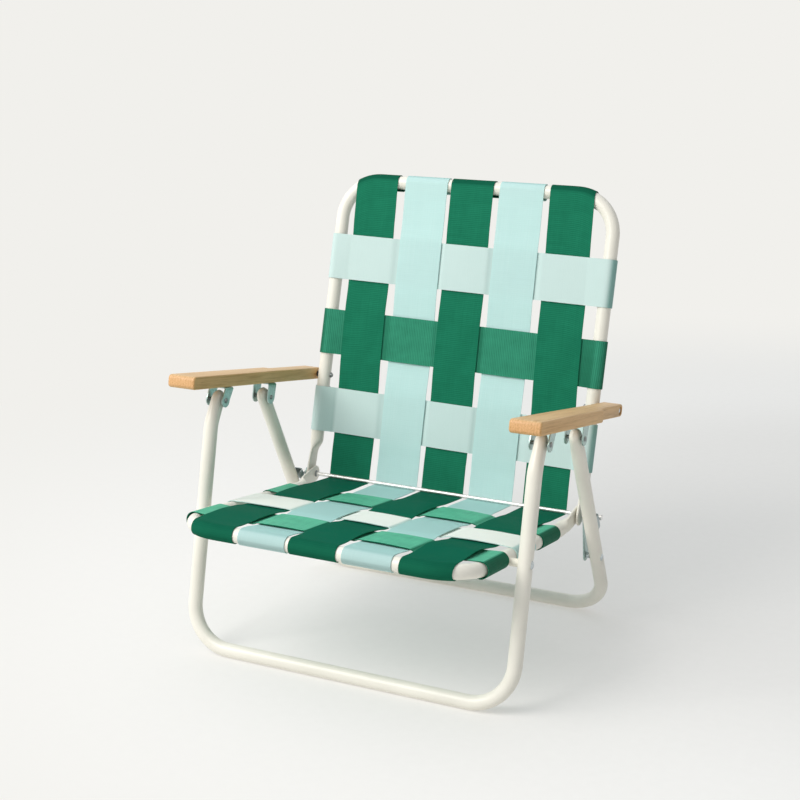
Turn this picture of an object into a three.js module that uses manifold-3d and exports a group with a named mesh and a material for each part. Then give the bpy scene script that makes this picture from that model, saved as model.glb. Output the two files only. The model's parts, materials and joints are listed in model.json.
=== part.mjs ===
// A low folding lawn chair with webbing woven through painted tube frames.
// Millimetres, Z up. The chair faces -Y, +X is the sitter's left hand.
// The origin is on the floor under the middle of the front floor bar.
import * as THREE from "three";
import { mergeVertices } from "three/addons/utils/BufferGeometryUtils.js";
import Module from "manifold-3d";

// Tube stock and fits
const TUBE_DIAMETER = 22.2;
const TUBE_SIDES = 18;
const RUNNING_CLEARANCE = 0.3;
const PIN_DIAMETER = 6;
const PIN_SIDES = 12;

// Pivots as [y, z]: seat to front leg, seat to back, back to arm
const SEAT_PIVOT = [47, 217.5];
const HINGE = [352, 192.5];
const ARM_PIVOT_ABOVE_HINGE = [46.5, 166];
const LINK_PIVOT_BELOW_HINGE = 70.5;

// Steps across the chair from one frame to the next. The webbing sets the width of the seat.
const BACK_BESIDE_SEAT = 9.5;
const SLEEVE_LENGTH = 12.8;
const REAR_LEG_BESIDE_FRONT_LEG = 2.8;
const EAR_BESIDE_RAIL = 5.6;

// Leg frames
const FRAME_BEND_RADIUS = 66;
const KNEE_BEND_RADIUS = 90;
const FRONT_LEG_TOP_LEAN = 29 * Math.PI / 180;
const FRONT_LEG_TOP_PAST_PIVOT = 12;
const ROD_BEHIND_REAR_LEG = 24.28;
const REAR_LEG_LEAN = 28.39 * Math.PI / 180;
const REAR_LEG_TIP_RADIUS = 14.5;

// Back and seat frames
const BACK_TILT = 15.13 * Math.PI / 180;
const BACK_LENGTH = 511;
const SEAT_FRONT_BAR = [-81, 238];
const SEAT_SLOPE = 8.1 * Math.PI / 180;
const SEAT_KINK_TO_HINGE = 61;
const SEAT_KINK_RADIUS = 60;
const FLAT_THICKNESS = 4;
const FLAT_WIDTH = 28;
const BACK_FLAT_LENGTH = 42;
const EAR_FLAT_LENGTH = 30;
const FLAT_RUNOUT = 16;
const HINGE_STACK_GAP = 0.4;

// Webbing
const STRAP_WIDTH = 76.2;
const DARK_STRAP_WIDTH = 73;
const STRAP_THICKNESS = 1.2;
const STRAP_GAP = 1.6;
const STRAP_TO_TUBE_GAP = 0.5;
const SEAT_STRAP_SPACING = 9.1;
const SEAT_EDGE_GAP = 18;
const BACK_EDGE_GAP = 20.1;
const STRAP_BEHIND_HINGE = 4.83;
const BACK_BOTTOM_CROSS_RUN = 110.5;
const BOTTOM_TO_MIDDLE_CROSS = 134;
const MIDDLE_TO_TOP_CROSS = 130.1;
const BACK_CROSS_SKEW = -0.0146;
const SLEEVE_TO_FRONT_CROSS_GAP = 3.6;
const SEAT_CROSS_SPACING = 33.8;
const STRAP_WRAP = 300 * Math.PI / 180;
const CROSS_STRAP_WRAP = 230 * Math.PI / 180;

// Arms, measured along and across the sloping board
const ARM_THICKNESS = 19;
const FRONT_PIVOT_BELOW_MIDDLE = 31.21;
const REAR_PIVOT_BELOW_MIDDLE = 33.94;
const ARM_FRONT_FROM_PIVOT = 400.5;
const ARM_REAR_PAST_PIVOT = 12;
const ARM_NOSE_RADIUS = 8;
const ARM_TAIL_RADIUS = 7;
const ARM_PIVOT_BELOW_MIDDLE = 0.9;
const ARM_WASHER_GAP = 3.4;
const ARM_WIDTH = 47;
const ARM_TONGUE_WIDTH = 32;
const ARM_INNER_TAPER = 4.5;
const ARM_TAPER_LENGTH = 275;
const ARM_STEP_FROM_FRONT = 283.5;
const ARM_CORNER_RADIUS = 6;

// Steel brackets, links and fasteners
const CLEVIS_THICKNESS = 1.6;
const CLEVIS_SIDE_GAP = 2;
const CLEVIS_WIDTH = 24;
const CLEVIS_EAR_RADIUS = 11;
const RIVET_HEAD_DIAMETER = 10;
const RIVET_HEAD_THICKNESS = 2;
const LINK_THICKNESS = 2.4;
const LINK_WIDTH = 20;
const LINK_TO_BACK_GAP = 6.5;
const CATCH_THICKNESS = 1.6;
const CATCH_HEIGHT = 27;
const CATCH_HALF_WIDTH = 10.4;
const CATCH_BELOW_ROD = 4;
const SLEEVE_DIAMETER = 12;
const BOLT_HEAD_DIAMETER = 12;
const BOLT_HEAD_THICKNESS = 2.6;
const BOLT_RECESS = 3.4;
const ARM_BOLT_RECESS = 7;
const ARM_BOLT_HEAD_DIAMETER = 11;
const CAP_NUT_DIAMETER = 11;
const CAP_NUT_LENGTH = 8;
const ROD_CAP_DIAMETER = 9;
const ROD_CAP_THICKNESS = 3;
const CATCH_GAP = 0.5;
const LINK_BOLT_GAP = 0.5;

// How finely straps are stepped, and a length beyond the whole chair for cutting tools
const WEAVE_MARGIN = 1.5;
const WEAVE_EASE = 20;
const STRAP_END_GAP = 2.5;
const WRAP_STEPS = 13;
const DRAPED_COLUMNS = 5;
const BENT_COLUMNS = 6;
const FAR = 1000;

const TUBE_RADIUS = TUBE_DIAMETER / 2;
const TUBE_CORNER_RADIUS = TUBE_RADIUS / Math.cos(Math.PI / TUBE_SIDES);
const PIN_RADIUS = PIN_DIAMETER / 2;
const HOLE_DIAMETER = PIN_DIAMETER + 2 * RUNNING_CLEARANCE;
const STRAP_ON_TUBE = TUBE_CORNER_RADIUS + STRAP_TO_TUBE_GAP + STRAP_THICKNESS / 2;
const WEAVE_LIFT = (STRAP_THICKNESS + STRAP_GAP) / 2;

// Half-widths from the middle plane to the tube centre lines, and the places of the arms across the chair
const SEAT_STRAP_PITCH = (STRAP_WIDTH + DARK_STRAP_WIDTH) / 2 + SEAT_STRAP_SPACING;
const SEAT_HALF_WIDTH = 2 * SEAT_STRAP_PITCH + DARK_STRAP_WIDTH / 2 + SEAT_EDGE_GAP + TUBE_RADIUS;
const BACK_HALF_WIDTH = SEAT_HALF_WIDTH + BACK_BESIDE_SEAT;
const BACK_STRAP_PITCH = (BACK_HALF_WIDTH - TUBE_RADIUS - BACK_EDGE_GAP - DARK_STRAP_WIDTH / 2) / 2;
const FRONT_LEG_HALF_WIDTH = SEAT_HALF_WIDTH + TUBE_DIAMETER + SLEEVE_LENGTH;
const REAR_LEG_HALF_WIDTH = FRONT_LEG_HALF_WIDTH + REAR_LEG_BESIDE_FRONT_LEG;
const SEAT_EAR_MIDDLE_X = SEAT_HALF_WIDTH + EAR_BESIDE_RAIL;
const ARM_INNER_REAR_X = BACK_HALF_WIDTH + TUBE_RADIUS + ARM_WASHER_GAP;
const ARM_INNER_FRONT_X = ARM_INNER_REAR_X - ARM_INNER_TAPER;
const ARM_OUTER_X = ARM_INNER_FRONT_X + ARM_WIDTH;
const ARM_TONGUE_OUTER_X = ARM_INNER_REAR_X + ARM_TONGUE_WIDTH;

const wasm = await Module();
wasm.setup();

const chair = new THREE.Group();
chair.name = "folding_webbed_lawn_chair";

const finish = {
  paint: new THREE.MeshStandardMaterial({ color: 0xe8e3d2, roughness: 0.4, metalness: 0 }),
  steel: new THREE.MeshStandardMaterial({ color: 0xb4babb, roughness: 0.3, metalness: 1 }),
  wood: new THREE.MeshStandardMaterial({ color: 0xd2a871, roughness: 0.5, metalness: 0 }),
  darkGreen: new THREE.MeshStandardMaterial({ color: 0x12694f, roughness: 0.7, metalness: 0 }),
  midGreen: new THREE.MeshStandardMaterial({ color: 0x3f9a78, roughness: 0.7, metalness: 0 }),
  mint: new THREE.MeshStandardMaterial({ color: 0xbfe6dd, roughness: 0.7, metalness: 0 }),
  pale: new THREE.MeshStandardMaterial({ color: 0xdcefe6, roughness: 0.7, metalness: 0 }),
};

// Vector sums in the side view, where a point is [y, z]
const along = (point, direction, distance) => [
  point[0] + direction[0] * distance,
  point[1] + direction[1] * distance,
];
const directionUp = (lean) => [Math.sin(lean), Math.cos(lean)];
const directionTo = (from, to) => {
  const length = Math.hypot(to[0] - from[0], to[1] - from[1]);
  return [(to[0] - from[0]) / length, (to[1] - from[1]) / length];
};
const measure = (from, to, direction) => (
  (to[0] - from[0]) * direction[0] + (to[1] - from[1]) * direction[1]
);
const at = (x, point) => new THREE.Vector3(x, point[0], point[1]);

// Named meshes, and closed solids for cutting
function addMesh(name, geometry, material) {
  const mesh = new THREE.Mesh(geometry, material);
  mesh.name = name;
  chair.add(mesh);
  return mesh;
}

function addPair(name, geometry, material) {
  addMesh(`${name}_left`, geometry, material);
  addMesh(`${name}_right`, geometry, material).scale.x = -1;
}

function toSolid(geometry) {
  const bare = geometry.clone();
  bare.deleteAttribute("normal");
  bare.deleteAttribute("uv");
  const merged = mergeVertices(bare, 1e-4);
  return new wasm.Manifold(new wasm.Mesh({
    numProp: 3,
    vertProperties: merged.attributes.position.array,
    triVerts: new Uint32Array(merged.index.array),
  }));
}

function toGeometry(solid) {
  const mesh = solid.getMesh();
  const geometry = new THREE.BufferGeometry();
  geometry.setAttribute("position", new THREE.BufferAttribute(mesh.vertProperties, mesh.numProp));
  geometry.setIndex(new THREE.BufferAttribute(mesh.triVerts, 1));
  geometry.computeVertexNormals();
  return geometry;
}

const cut = (base, ...tools) => toGeometry(
  tools.reduce((solid, tool) => solid.subtract(toSolid(tool)), toSolid(base)),
);
const join = (base, ...more) => toGeometry(
  more.reduce((solid, other) => solid.add(toSolid(other)), toSolid(base)),
);
const common = (base, other) => toGeometry(toSolid(base).intersect(toSolid(other)));

// A round bar across the chair, from x0 to x1, centred on a side-view point
function crossBar(diameter, x0, x1, point, sides = PIN_SIDES) {
  const bar = new THREE.CylinderGeometry(diameter / 2, diameter / 2, x1 - x0, sides);
  bar.rotateZ(-Math.PI / 2);
  bar.translate((x0 + x1) / 2, point[0], point[1]);
  return bar;
}

// A flat plate across the chair, from x0 to x1, with its outline drawn in the side view
function sidePlate(shape, x0, x1, curveSegments = 8) {
  const plate = new THREE.ExtrudeGeometry(shape, {
    depth: x1 - x0,
    bevelEnabled: false,
    curveSegments,
  });
  const sideView = new THREE.Matrix4().set(0, 0, 1, x0, 1, 0, 0, 0, 0, 1, 0, 0, 0, 0, 0, 1);
  return plate.applyMatrix4(sideView);
}

// A turned piece lying across the chair: profile points are [radius, x]
function crossTurned(profile, point, sides = PIN_SIDES) {
  const turned = new THREE.LatheGeometry(profile.map(([r, x]) => new THREE.Vector2(r, x)), sides);
  turned.rotateZ(-Math.PI / 2);
  turned.translate(0, point[0], point[1]);
  return turned;
}

// Closed profile of a ring from x0 to x1
function ringProfile(inside, outside, x0, x1) {
  return [
    [inside / 2, x0],
    [outside / 2, x0],
    [outside / 2, x1],
    [inside / 2, x1],
    [inside / 2, x0],
  ];
}

// A bolt from x0 to a low domed head that sits on the plane x1
function boltAcross(x0, x1, point) {
  return crossTurned(
    [
      [0, x0],
      [PIN_RADIUS, x0],
      [PIN_RADIUS, x1],
      [BOLT_HEAD_DIAMETER / 2, x1],
      [BOLT_HEAD_DIAMETER / 2, x1 + BOLT_HEAD_THICKNESS / 3],
      [BOLT_HEAD_DIAMETER / 3, x1 + BOLT_HEAD_THICKNESS],
      [0, x1 + BOLT_HEAD_THICKNESS],
    ],
    point,
  );
}

// A path given by its stations, each a point with a direction
class StationPath extends THREE.Curve {
  constructor(stations) {
    super();
    this.stations = stations;
  }

  stationAt(u) {
    return this.stations[Math.round(u * (this.stations.length - 1))];
  }

  getPointAt(u, target = new THREE.Vector3()) {
    return target.copy(this.stationAt(u).point);
  }

  getTangentAt(u, target = new THREE.Vector3()) {
    return target.copy(this.stationAt(u).direction);
  }
}

// Stations along straight runs joined by bends; extra stations are added before the ends
function bentStations(corners, bendRadii, endStations) {
  const stations = [];
  const first = corners[1].clone().sub(corners[0]).normalize();
  for (const distance of endStations) {
    stations.push({ point: corners[0].clone().addScaledVector(first, distance), direction: first });
  }
  for (let i = 1; i < corners.length - 1; i += 1) {
    const before = corners[i].clone().sub(corners[i - 1]).normalize();
    const after = corners[i + 1].clone().sub(corners[i]).normalize();
    const turn = before.angleTo(after);
    const radius = bendRadii[i - 1];
    const start = corners[i].clone().addScaledVector(before, -radius * Math.tan(turn / 2));
    const inward = after.clone().addScaledVector(before, -before.dot(after)).normalize();
    const steps = Math.max(3, Math.ceil(turn / (Math.PI / 14)));
    for (let k = 0; k <= steps; k += 1) {
      const angle = turn * k / steps;
      stations.push({
        point: start.clone()
          .addScaledVector(before, radius * Math.sin(angle))
          .addScaledVector(inward, radius * (1 - Math.cos(angle))),
        direction: before.clone().multiplyScalar(Math.cos(angle))
          .addScaledVector(inward, Math.sin(angle)),
      });
    }
  }
  const end = corners[corners.length - 1];
  const last = end.clone().sub(corners[corners.length - 2]).normalize();
  for (const distance of [...endStations].reverse()) {
    stations.push({ point: end.clone().addScaledVector(last, -distance), direction: last });
  }
  return stations;
}

// A bent tube; one side of its section faces the floor when facetTurn is the lean of its legs
function bentTube(corners, bendRadii, facetTurn, endStations = [0]) {
  const section = new THREE.Shape();
  for (let k = 0; k < TUBE_SIDES; k += 1) {
    const angle = facetTurn + (k + 0.5) * 2 * Math.PI / TUBE_SIDES;
    const x = TUBE_CORNER_RADIUS * Math.cos(angle);
    const y = TUBE_CORNER_RADIUS * Math.sin(angle);
    if (k === 0) section.moveTo(x, y);
    else section.lineTo(x, y);
  }
  section.closePath();
  const stations = bentStations(corners, bendRadii, endStations);
  return new THREE.ExtrudeGeometry(section, {
    steps: stations.length - 1,
    extrudePath: new StationPath(stations),
    bevelEnabled: false,
  });
}

// Squeezes both ends of a tube flat round the hinge, with the flat centred on flatX
function flattenEnds(geometry, tubeX, flatX, hinge, direction, flatLength) {
  const position = geometry.getAttribute("position");
  const across = [-direction[1], direction[0]];
  for (let i = 0; i < position.count; i += 1) {
    const side = Math.sign(position.getX(i));
    const y = position.getY(i) - hinge[0];
    const z = position.getZ(i) - hinge[1];
    const distance = y * direction[0] + z * direction[1];
    const amount = 1 - THREE.MathUtils.smoothstep(distance, flatLength, flatLength + FLAT_RUNOUT);
    const offsetX = Math.abs(position.getX(i)) - tubeX;
    const offset = y * across[0] + z * across[1];
    const thin = THREE.MathUtils.lerp(1, FLAT_THICKNESS / (2 * TUBE_CORNER_RADIUS), amount);
    const wide = THREE.MathUtils.lerp(1, FLAT_WIDTH / (2 * TUBE_CORNER_RADIUS), amount);
    position.setX(i, side * (THREE.MathUtils.lerp(tubeX, flatX, amount) + offsetX * thin));
    position.setY(i, hinge[0] + direction[0] * distance + across[0] * offset * wide);
    position.setZ(i, hinge[1] + direction[1] * distance + across[1] * offset * wide);
  }
  return geometry;
}

// What is left of an end once it is rounded about a pivot; direction runs from the pivot into the piece
function roundedEnd(pivot, direction, radius) {
  const outline = new THREE.Shape();
  outline.absarc(0, 0, radius, Math.PI / 2, 3 * Math.PI / 2, false);
  outline.lineTo(radius, -radius);
  outline.lineTo(radius, -FAR);
  outline.lineTo(FAR, -FAR);
  outline.lineTo(FAR, FAR);
  outline.lineTo(radius, FAR);
  outline.lineTo(radius, radius);
  const kept = sidePlate(outline, -FAR, FAR, 20);
  kept.rotateX(Math.atan2(direction[1], direction[0]));
  kept.translate(0, pivot[0], pivot[1]);
  return kept;
}

// Recesses for low bolt heads in the outer faces of a pair of legs
function headRecesses(legX, point) {
  const depth = legX + TUBE_RADIUS - BOLT_RECESS;
  return [
    crossBar(BOLT_HEAD_DIAMETER + 2 * RUNNING_CLEARANCE, depth, FAR, point),
    crossBar(BOLT_HEAD_DIAMETER + 2 * RUNNING_CLEARANCE, -FAR, -depth, point),
  ];
}

// Frame geometry in the side view
const tubeFloorZ = TUBE_RADIUS;
const frontFloorBar = [0, tubeFloorZ];
const frontLegUp = directionTo(frontFloorBar, SEAT_PIVOT);
const frontLegLean = Math.atan2(frontLegUp[0], frontLegUp[1]);
const armPivot = along(HINGE, ARM_PIVOT_ABOVE_HINGE, 1);
const frontLegPivot = along(SEAT_PIVOT, ARM_PIVOT_ABOVE_HINGE, 1);

// The arm slopes so that both of its front pivots hang their own distance below its middle line
const pivotsApart = Math.hypot(armPivot[0] - frontLegPivot[0], armPivot[1] - frontLegPivot[1]);
const armSlope = (
  Math.atan2(frontLegPivot[1] - armPivot[1], armPivot[0] - frontLegPivot[0])
  + Math.asin((FRONT_PIVOT_BELOW_MIDDLE - ARM_PIVOT_BELOW_MIDDLE) / pivotsApart)
);
const armRearward = [Math.cos(armSlope), -Math.sin(armSlope)];
const armUp = [Math.sin(armSlope), Math.cos(armSlope)];
const armNose = along(
  along(armPivot, armUp, ARM_PIVOT_BELOW_MIDDLE),
  armRearward,
  -ARM_FRONT_FROM_PIVOT,
);

// The rear leg passes in front of the hinge rod, down to the floor and up to its pivot under the arm
const rearLegUp = directionUp(-REAR_LEG_LEAN);
const behindRearLeg = [Math.cos(REAR_LEG_LEAN), Math.sin(REAR_LEG_LEAN)];
const rearLegAtRod = along(HINGE, behindRearLeg, -ROD_BEHIND_REAR_LEG);
const onRearLeg = (z) => along(rearLegAtRod, rearLegUp, (z - rearLegAtRod[1]) / rearLegUp[1]);
const rearFloorBar = onRearLeg(tubeFloorZ);
const rearLegPivot = along(
  rearLegAtRod,
  rearLegUp,
  (measure(rearLegAtRod, armNose, armUp) - REAR_PIVOT_BELOW_MIDDLE)
    / (rearLegUp[0] * armUp[0] + rearLegUp[1] * armUp[1]),
);
const linkPivot = onRearLeg(HINGE[1] - LINK_PIVOT_BELOW_HINGE);

// Front leg frame: floor bar, leaning legs, and a knee below the arm
const frontTopUp = directionUp(FRONT_LEG_TOP_LEAN);
const kneeToPivot = (
  (frontLegPivot[0] - frontFloorBar[0]) * frontLegUp[1]
  - (frontLegPivot[1] - frontFloorBar[1]) * frontLegUp[0]
) / (frontTopUp[0] * frontLegUp[1] - frontTopUp[1] * frontLegUp[0]);
const frontKnee = along(frontLegPivot, frontTopUp, -kneeToPivot);
const frontLegTop = along(frontLegPivot, frontTopUp, FRONT_LEG_TOP_PAST_PIVOT);
const frontLegTube = bentTube(
  [
    at(-FRONT_LEG_HALF_WIDTH, frontLegTop),
    at(-FRONT_LEG_HALF_WIDTH, frontKnee),
    at(-FRONT_LEG_HALF_WIDTH, frontFloorBar),
    at(FRONT_LEG_HALF_WIDTH, frontFloorBar),
    at(FRONT_LEG_HALF_WIDTH, frontKnee),
    at(FRONT_LEG_HALF_WIDTH, frontLegTop),
  ],
  [KNEE_BEND_RADIUS, FRAME_BEND_RADIUS, FRAME_BEND_RADIUS, KNEE_BEND_RADIUS],
  frontLegLean,
);
const holeAcross = (point) => crossBar(HOLE_DIAMETER, -FAR, FAR, point);
addMesh(
  "front_leg_frame",
  cut(
    frontLegTube,
    holeAcross(frontLegPivot),
    holeAcross(SEAT_PIVOT),
    ...headRecesses(FRONT_LEG_HALF_WIDTH, SEAT_PIVOT),
  ),
  finish.paint,
);

// Rear leg frame: floor bar and straight legs with rounded tops
const rearLegTop = along(rearLegPivot, rearLegUp, REAR_LEG_TIP_RADIUS + RUNNING_CLEARANCE);
const rearLegTube = bentTube(
  [
    at(-REAR_LEG_HALF_WIDTH, rearLegTop),
    at(-REAR_LEG_HALF_WIDTH, rearFloorBar),
    at(REAR_LEG_HALF_WIDTH, rearFloorBar),
    at(REAR_LEG_HALF_WIDTH, rearLegTop),
  ],
  [FRAME_BEND_RADIUS, FRAME_BEND_RADIUS],
  -REAR_LEG_LEAN,
);
const rearLegDown = [-rearLegUp[0], -rearLegUp[1]];
const rearLegRounded = common(
  rearLegTube,
  roundedEnd(rearLegPivot, rearLegDown, REAR_LEG_TIP_RADIUS),
);
addMesh(
  "rear_leg_frame",
  cut(
    rearLegRounded,
    holeAcross(rearLegPivot),
    holeAcross(linkPivot),
    ...headRecesses(REAR_LEG_HALF_WIDTH, linkPivot),
  ),
  finish.paint,
);

// Back frame: a hoop with rounded top corners, its ends squeezed flat at the hinge
const backUp = directionUp(BACK_TILT);
const backTop = along(HINGE, backUp, BACK_LENGTH);
const flatTip = FLAT_WIDTH / 2 + RUNNING_CLEARANCE;
const backTip = along(HINGE, backUp, -flatTip);
const flatStations = (flatLength) => [
  0,
  flatTip + flatLength,
  flatTip + flatLength + FLAT_RUNOUT * 0.25,
  flatTip + flatLength + FLAT_RUNOUT * 0.5,
  flatTip + flatLength + FLAT_RUNOUT * 0.75,
  flatTip + flatLength + FLAT_RUNOUT,
];
const backEndMiddleX = SEAT_EAR_MIDDLE_X + FLAT_THICKNESS + HINGE_STACK_GAP;
const backTube = flattenEnds(
  bentTube(
    [
      at(-BACK_HALF_WIDTH, backTip),
      at(-BACK_HALF_WIDTH, backTop),
      at(BACK_HALF_WIDTH, backTop),
      at(BACK_HALF_WIDTH, backTip),
    ],
    [FRAME_BEND_RADIUS, FRAME_BEND_RADIUS],
    0,
    flatStations(BACK_FLAT_LENGTH),
  ),
  BACK_HALF_WIDTH,
  backEndMiddleX,
  HINGE,
  backUp,
  BACK_FLAT_LENGTH,
);
const backRounded = common(backTube, roundedEnd(HINGE, backUp, FLAT_WIDTH / 2));
addMesh("back_frame", cut(backRounded, holeAcross(HINGE), holeAcross(armPivot)), finish.paint);

// Seat frame: a hoop open to the rear, kinked up to flat ears at the hinge
const seatRearward = [Math.cos(SEAT_SLOPE), -Math.sin(SEAT_SLOPE)];
const seatUp = [Math.sin(SEAT_SLOPE), Math.cos(SEAT_SLOPE)];
const seatKinkY = HINGE[0] - SEAT_KINK_TO_HINGE;
const seatKink = along(
  SEAT_FRONT_BAR,
  seatRearward,
  (seatKinkY - SEAT_FRONT_BAR[0]) / seatRearward[0],
);
const earForward = directionTo(HINGE, seatKink);
const seatTip = along(HINGE, earForward, -flatTip);
const seatTube = bentTube(
  [
    at(-SEAT_HALF_WIDTH, seatTip),
    at(-SEAT_HALF_WIDTH, seatKink),
    at(-SEAT_HALF_WIDTH, SEAT_FRONT_BAR),
    at(SEAT_HALF_WIDTH, SEAT_FRONT_BAR),
    at(SEAT_HALF_WIDTH, seatKink),
    at(SEAT_HALF_WIDTH, seatTip),
  ],
  [SEAT_KINK_RADIUS, FRAME_BEND_RADIUS, FRAME_BEND_RADIUS, SEAT_KINK_RADIUS],
  0,
  flatStations(EAR_FLAT_LENGTH),
);
const seatFlattened = flattenEnds(
  seatTube,
  SEAT_HALF_WIDTH,
  SEAT_EAR_MIDDLE_X,
  HINGE,
  earForward,
  EAR_FLAT_LENGTH,
);
const seatRounded = common(seatFlattened, roundedEnd(HINGE, earForward, FLAT_WIDTH / 2));
const seatBoltHoles = [-1, 1].map((side) => crossBar(
  HOLE_DIAMETER,
  side * (SEAT_HALF_WIDTH + TUBE_RADIUS) - TUBE_RADIUS,
  side * (SEAT_HALF_WIDTH + TUBE_RADIUS) + TUBE_RADIUS,
  SEAT_PIVOT,
));
addMesh("seat_frame", cut(seatRounded, holeAcross(HINGE), ...seatBoltHoles), finish.paint);

// Hinge rod with a push-on cap at each end
const rodCapX = REAR_LEG_HALF_WIDTH + CATCH_HALF_WIDTH - ROD_CAP_THICKNESS / 2;
const rodEndX = rodCapX + ROD_CAP_THICKNESS / 2;
addMesh("hinge_rod", crossBar(PIN_DIAMETER, -rodEndX, rodEndX, HINGE), finish.steel);
addPair(
  "rod_cap",
  crossTurned(
    [
      [0, rodEndX + RUNNING_CLEARANCE],
      [HOLE_DIAMETER / 2, rodEndX + RUNNING_CLEARANCE],
      [HOLE_DIAMETER / 2, rodCapX],
      [ROD_CAP_DIAMETER / 2, rodCapX],
      [ROD_CAP_DIAMETER / 2, rodCapX + ROD_CAP_THICKNESS * 0.6],
      [ROD_CAP_DIAMETER / 4, rodCapX + ROD_CAP_THICKNESS],
      [0, rodCapX + ROD_CAP_THICKNESS],
    ],
    HINGE,
  ),
  finish.steel,
);

// Arms: boards sloping down to a narrower tongue beside the back frame
const armLength = ARM_FRONT_FROM_PIVOT + ARM_REAR_PAST_PIVOT;

// Places a piece drawn level, with its origin at a side-view point, at the slope of the arm
function slopeWithArm(geometry, point) {
  geometry.rotateX(-armSlope);
  geometry.translate(0, point[0], point[1]);
  return geometry;
}

function armProfile() {
  const half = ARM_THICKNESS / 2;
  const outline = new THREE.Shape();
  outline.moveTo(ARM_NOSE_RADIUS, -half);
  outline.lineTo(armLength - ARM_TAIL_RADIUS, -half);
  outline.absarc(armLength - ARM_TAIL_RADIUS, ARM_TAIL_RADIUS - half, ARM_TAIL_RADIUS, -Math.PI / 2, 0);
  outline.absarc(armLength - ARM_TAIL_RADIUS, half - ARM_TAIL_RADIUS, ARM_TAIL_RADIUS, 0, Math.PI / 2);
  outline.lineTo(ARM_NOSE_RADIUS, half);
  outline.absarc(ARM_NOSE_RADIUS, half - ARM_NOSE_RADIUS, ARM_NOSE_RADIUS, Math.PI / 2, Math.PI);
  outline.absarc(ARM_NOSE_RADIUS, ARM_NOSE_RADIUS - half, ARM_NOSE_RADIUS, Math.PI, 1.5 * Math.PI);
  return sidePlate(outline, 0, FAR);
}

function armPlan() {
  const corner = ARM_CORNER_RADIUS;
  const outline = new THREE.Shape();
  outline.moveTo(ARM_INNER_FRONT_X, -FAR);
  outline.lineTo(ARM_OUTER_X, -FAR);
  outline.lineTo(ARM_OUTER_X, ARM_STEP_FROM_FRONT - corner);
  outline.absarc(ARM_OUTER_X - corner, ARM_STEP_FROM_FRONT - corner, corner, 0, Math.PI / 2);
  outline.lineTo(ARM_TONGUE_OUTER_X, ARM_STEP_FROM_FRONT);
  outline.lineTo(ARM_TONGUE_OUTER_X, FAR);
  outline.lineTo(ARM_INNER_REAR_X, FAR);
  outline.lineTo(ARM_INNER_REAR_X, ARM_TAPER_LENGTH);
  outline.lineTo(ARM_INNER_FRONT_X, 0);
  const plan = new THREE.ExtrudeGeometry(outline, {
    depth: 2 * ARM_THICKNESS,
    bevelEnabled: false,
    curveSegments: 8,
  });
  return plan.translate(0, 0, -ARM_THICKNESS);
}

const recessFloorX = ARM_TONGUE_OUTER_X - ARM_BOLT_RECESS;
addPair(
  "arm",
  cut(
    slopeWithArm(common(armProfile(), armPlan()), armNose),
    holeAcross(armPivot),
    crossBar(ARM_BOLT_HEAD_DIAMETER + 2, recessFloorX, FAR, armPivot),
  ),
  finish.wood,
);

// Arm bolt, the washer between arm and back, and the cap nut inside the back
const backInnerX = BACK_HALF_WIDTH - TUBE_CORNER_RADIUS - RUNNING_CLEARANCE;
const backOuterX = BACK_HALF_WIDTH + TUBE_CORNER_RADIUS + RUNNING_CLEARANCE;
const armBoltHeadX = recessFloorX + RUNNING_CLEARANCE;
const armBoltEndX = backInnerX - CAP_NUT_LENGTH * 0.6;
addPair(
  "arm_bolt",
  crossTurned(
    [
      [0, armBoltEndX],
      [PIN_RADIUS, armBoltEndX],
      [PIN_RADIUS, armBoltHeadX],
      [ARM_BOLT_HEAD_DIAMETER / 2, armBoltHeadX],
      [ARM_BOLT_HEAD_DIAMETER / 2, armBoltHeadX + ARM_BOLT_RECESS * 0.4],
      [ARM_BOLT_HEAD_DIAMETER / 4, armBoltHeadX + ARM_BOLT_RECESS * 0.6],
      [0, armBoltHeadX + ARM_BOLT_RECESS * 0.6],
    ],
    armPivot,
  ),
  finish.steel,
);
addPair(
  "arm_washer",
  crossTurned(
    ringProfile(HOLE_DIAMETER, SLEEVE_DIAMETER, backOuterX, ARM_INNER_REAR_X - RUNNING_CLEARANCE),
    armPivot,
  ),
  finish.steel,
);
addPair(
  "arm_cap_nut",
  crossTurned(
    [
      [0, backInnerX - CAP_NUT_LENGTH],
      [CAP_NUT_DIAMETER * 0.28, backInnerX - CAP_NUT_LENGTH * 0.94],
      [CAP_NUT_DIAMETER * 0.42, backInnerX - CAP_NUT_LENGTH * 0.76],
      [CAP_NUT_DIAMETER / 2, backInnerX - CAP_NUT_LENGTH * 0.5],
      [CAP_NUT_DIAMETER / 2, backInnerX],
      [HOLE_DIAMETER / 2, backInnerX],
      [HOLE_DIAMETER / 2, armBoltEndX - RUNNING_CLEARANCE],
      [0, armBoltEndX - RUNNING_CLEARANCE],
    ],
    armPivot,
  ),
  finish.steel,
);

// Clevis brackets under the arms: two ears beside a leg top, joined by a plate against the board
const clevisHalfInside = TUBE_CORNER_RADIUS + CLEVIS_SIDE_GAP;
const clevisHalfOutside = clevisHalfInside + CLEVIS_THICKNESS;

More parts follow.
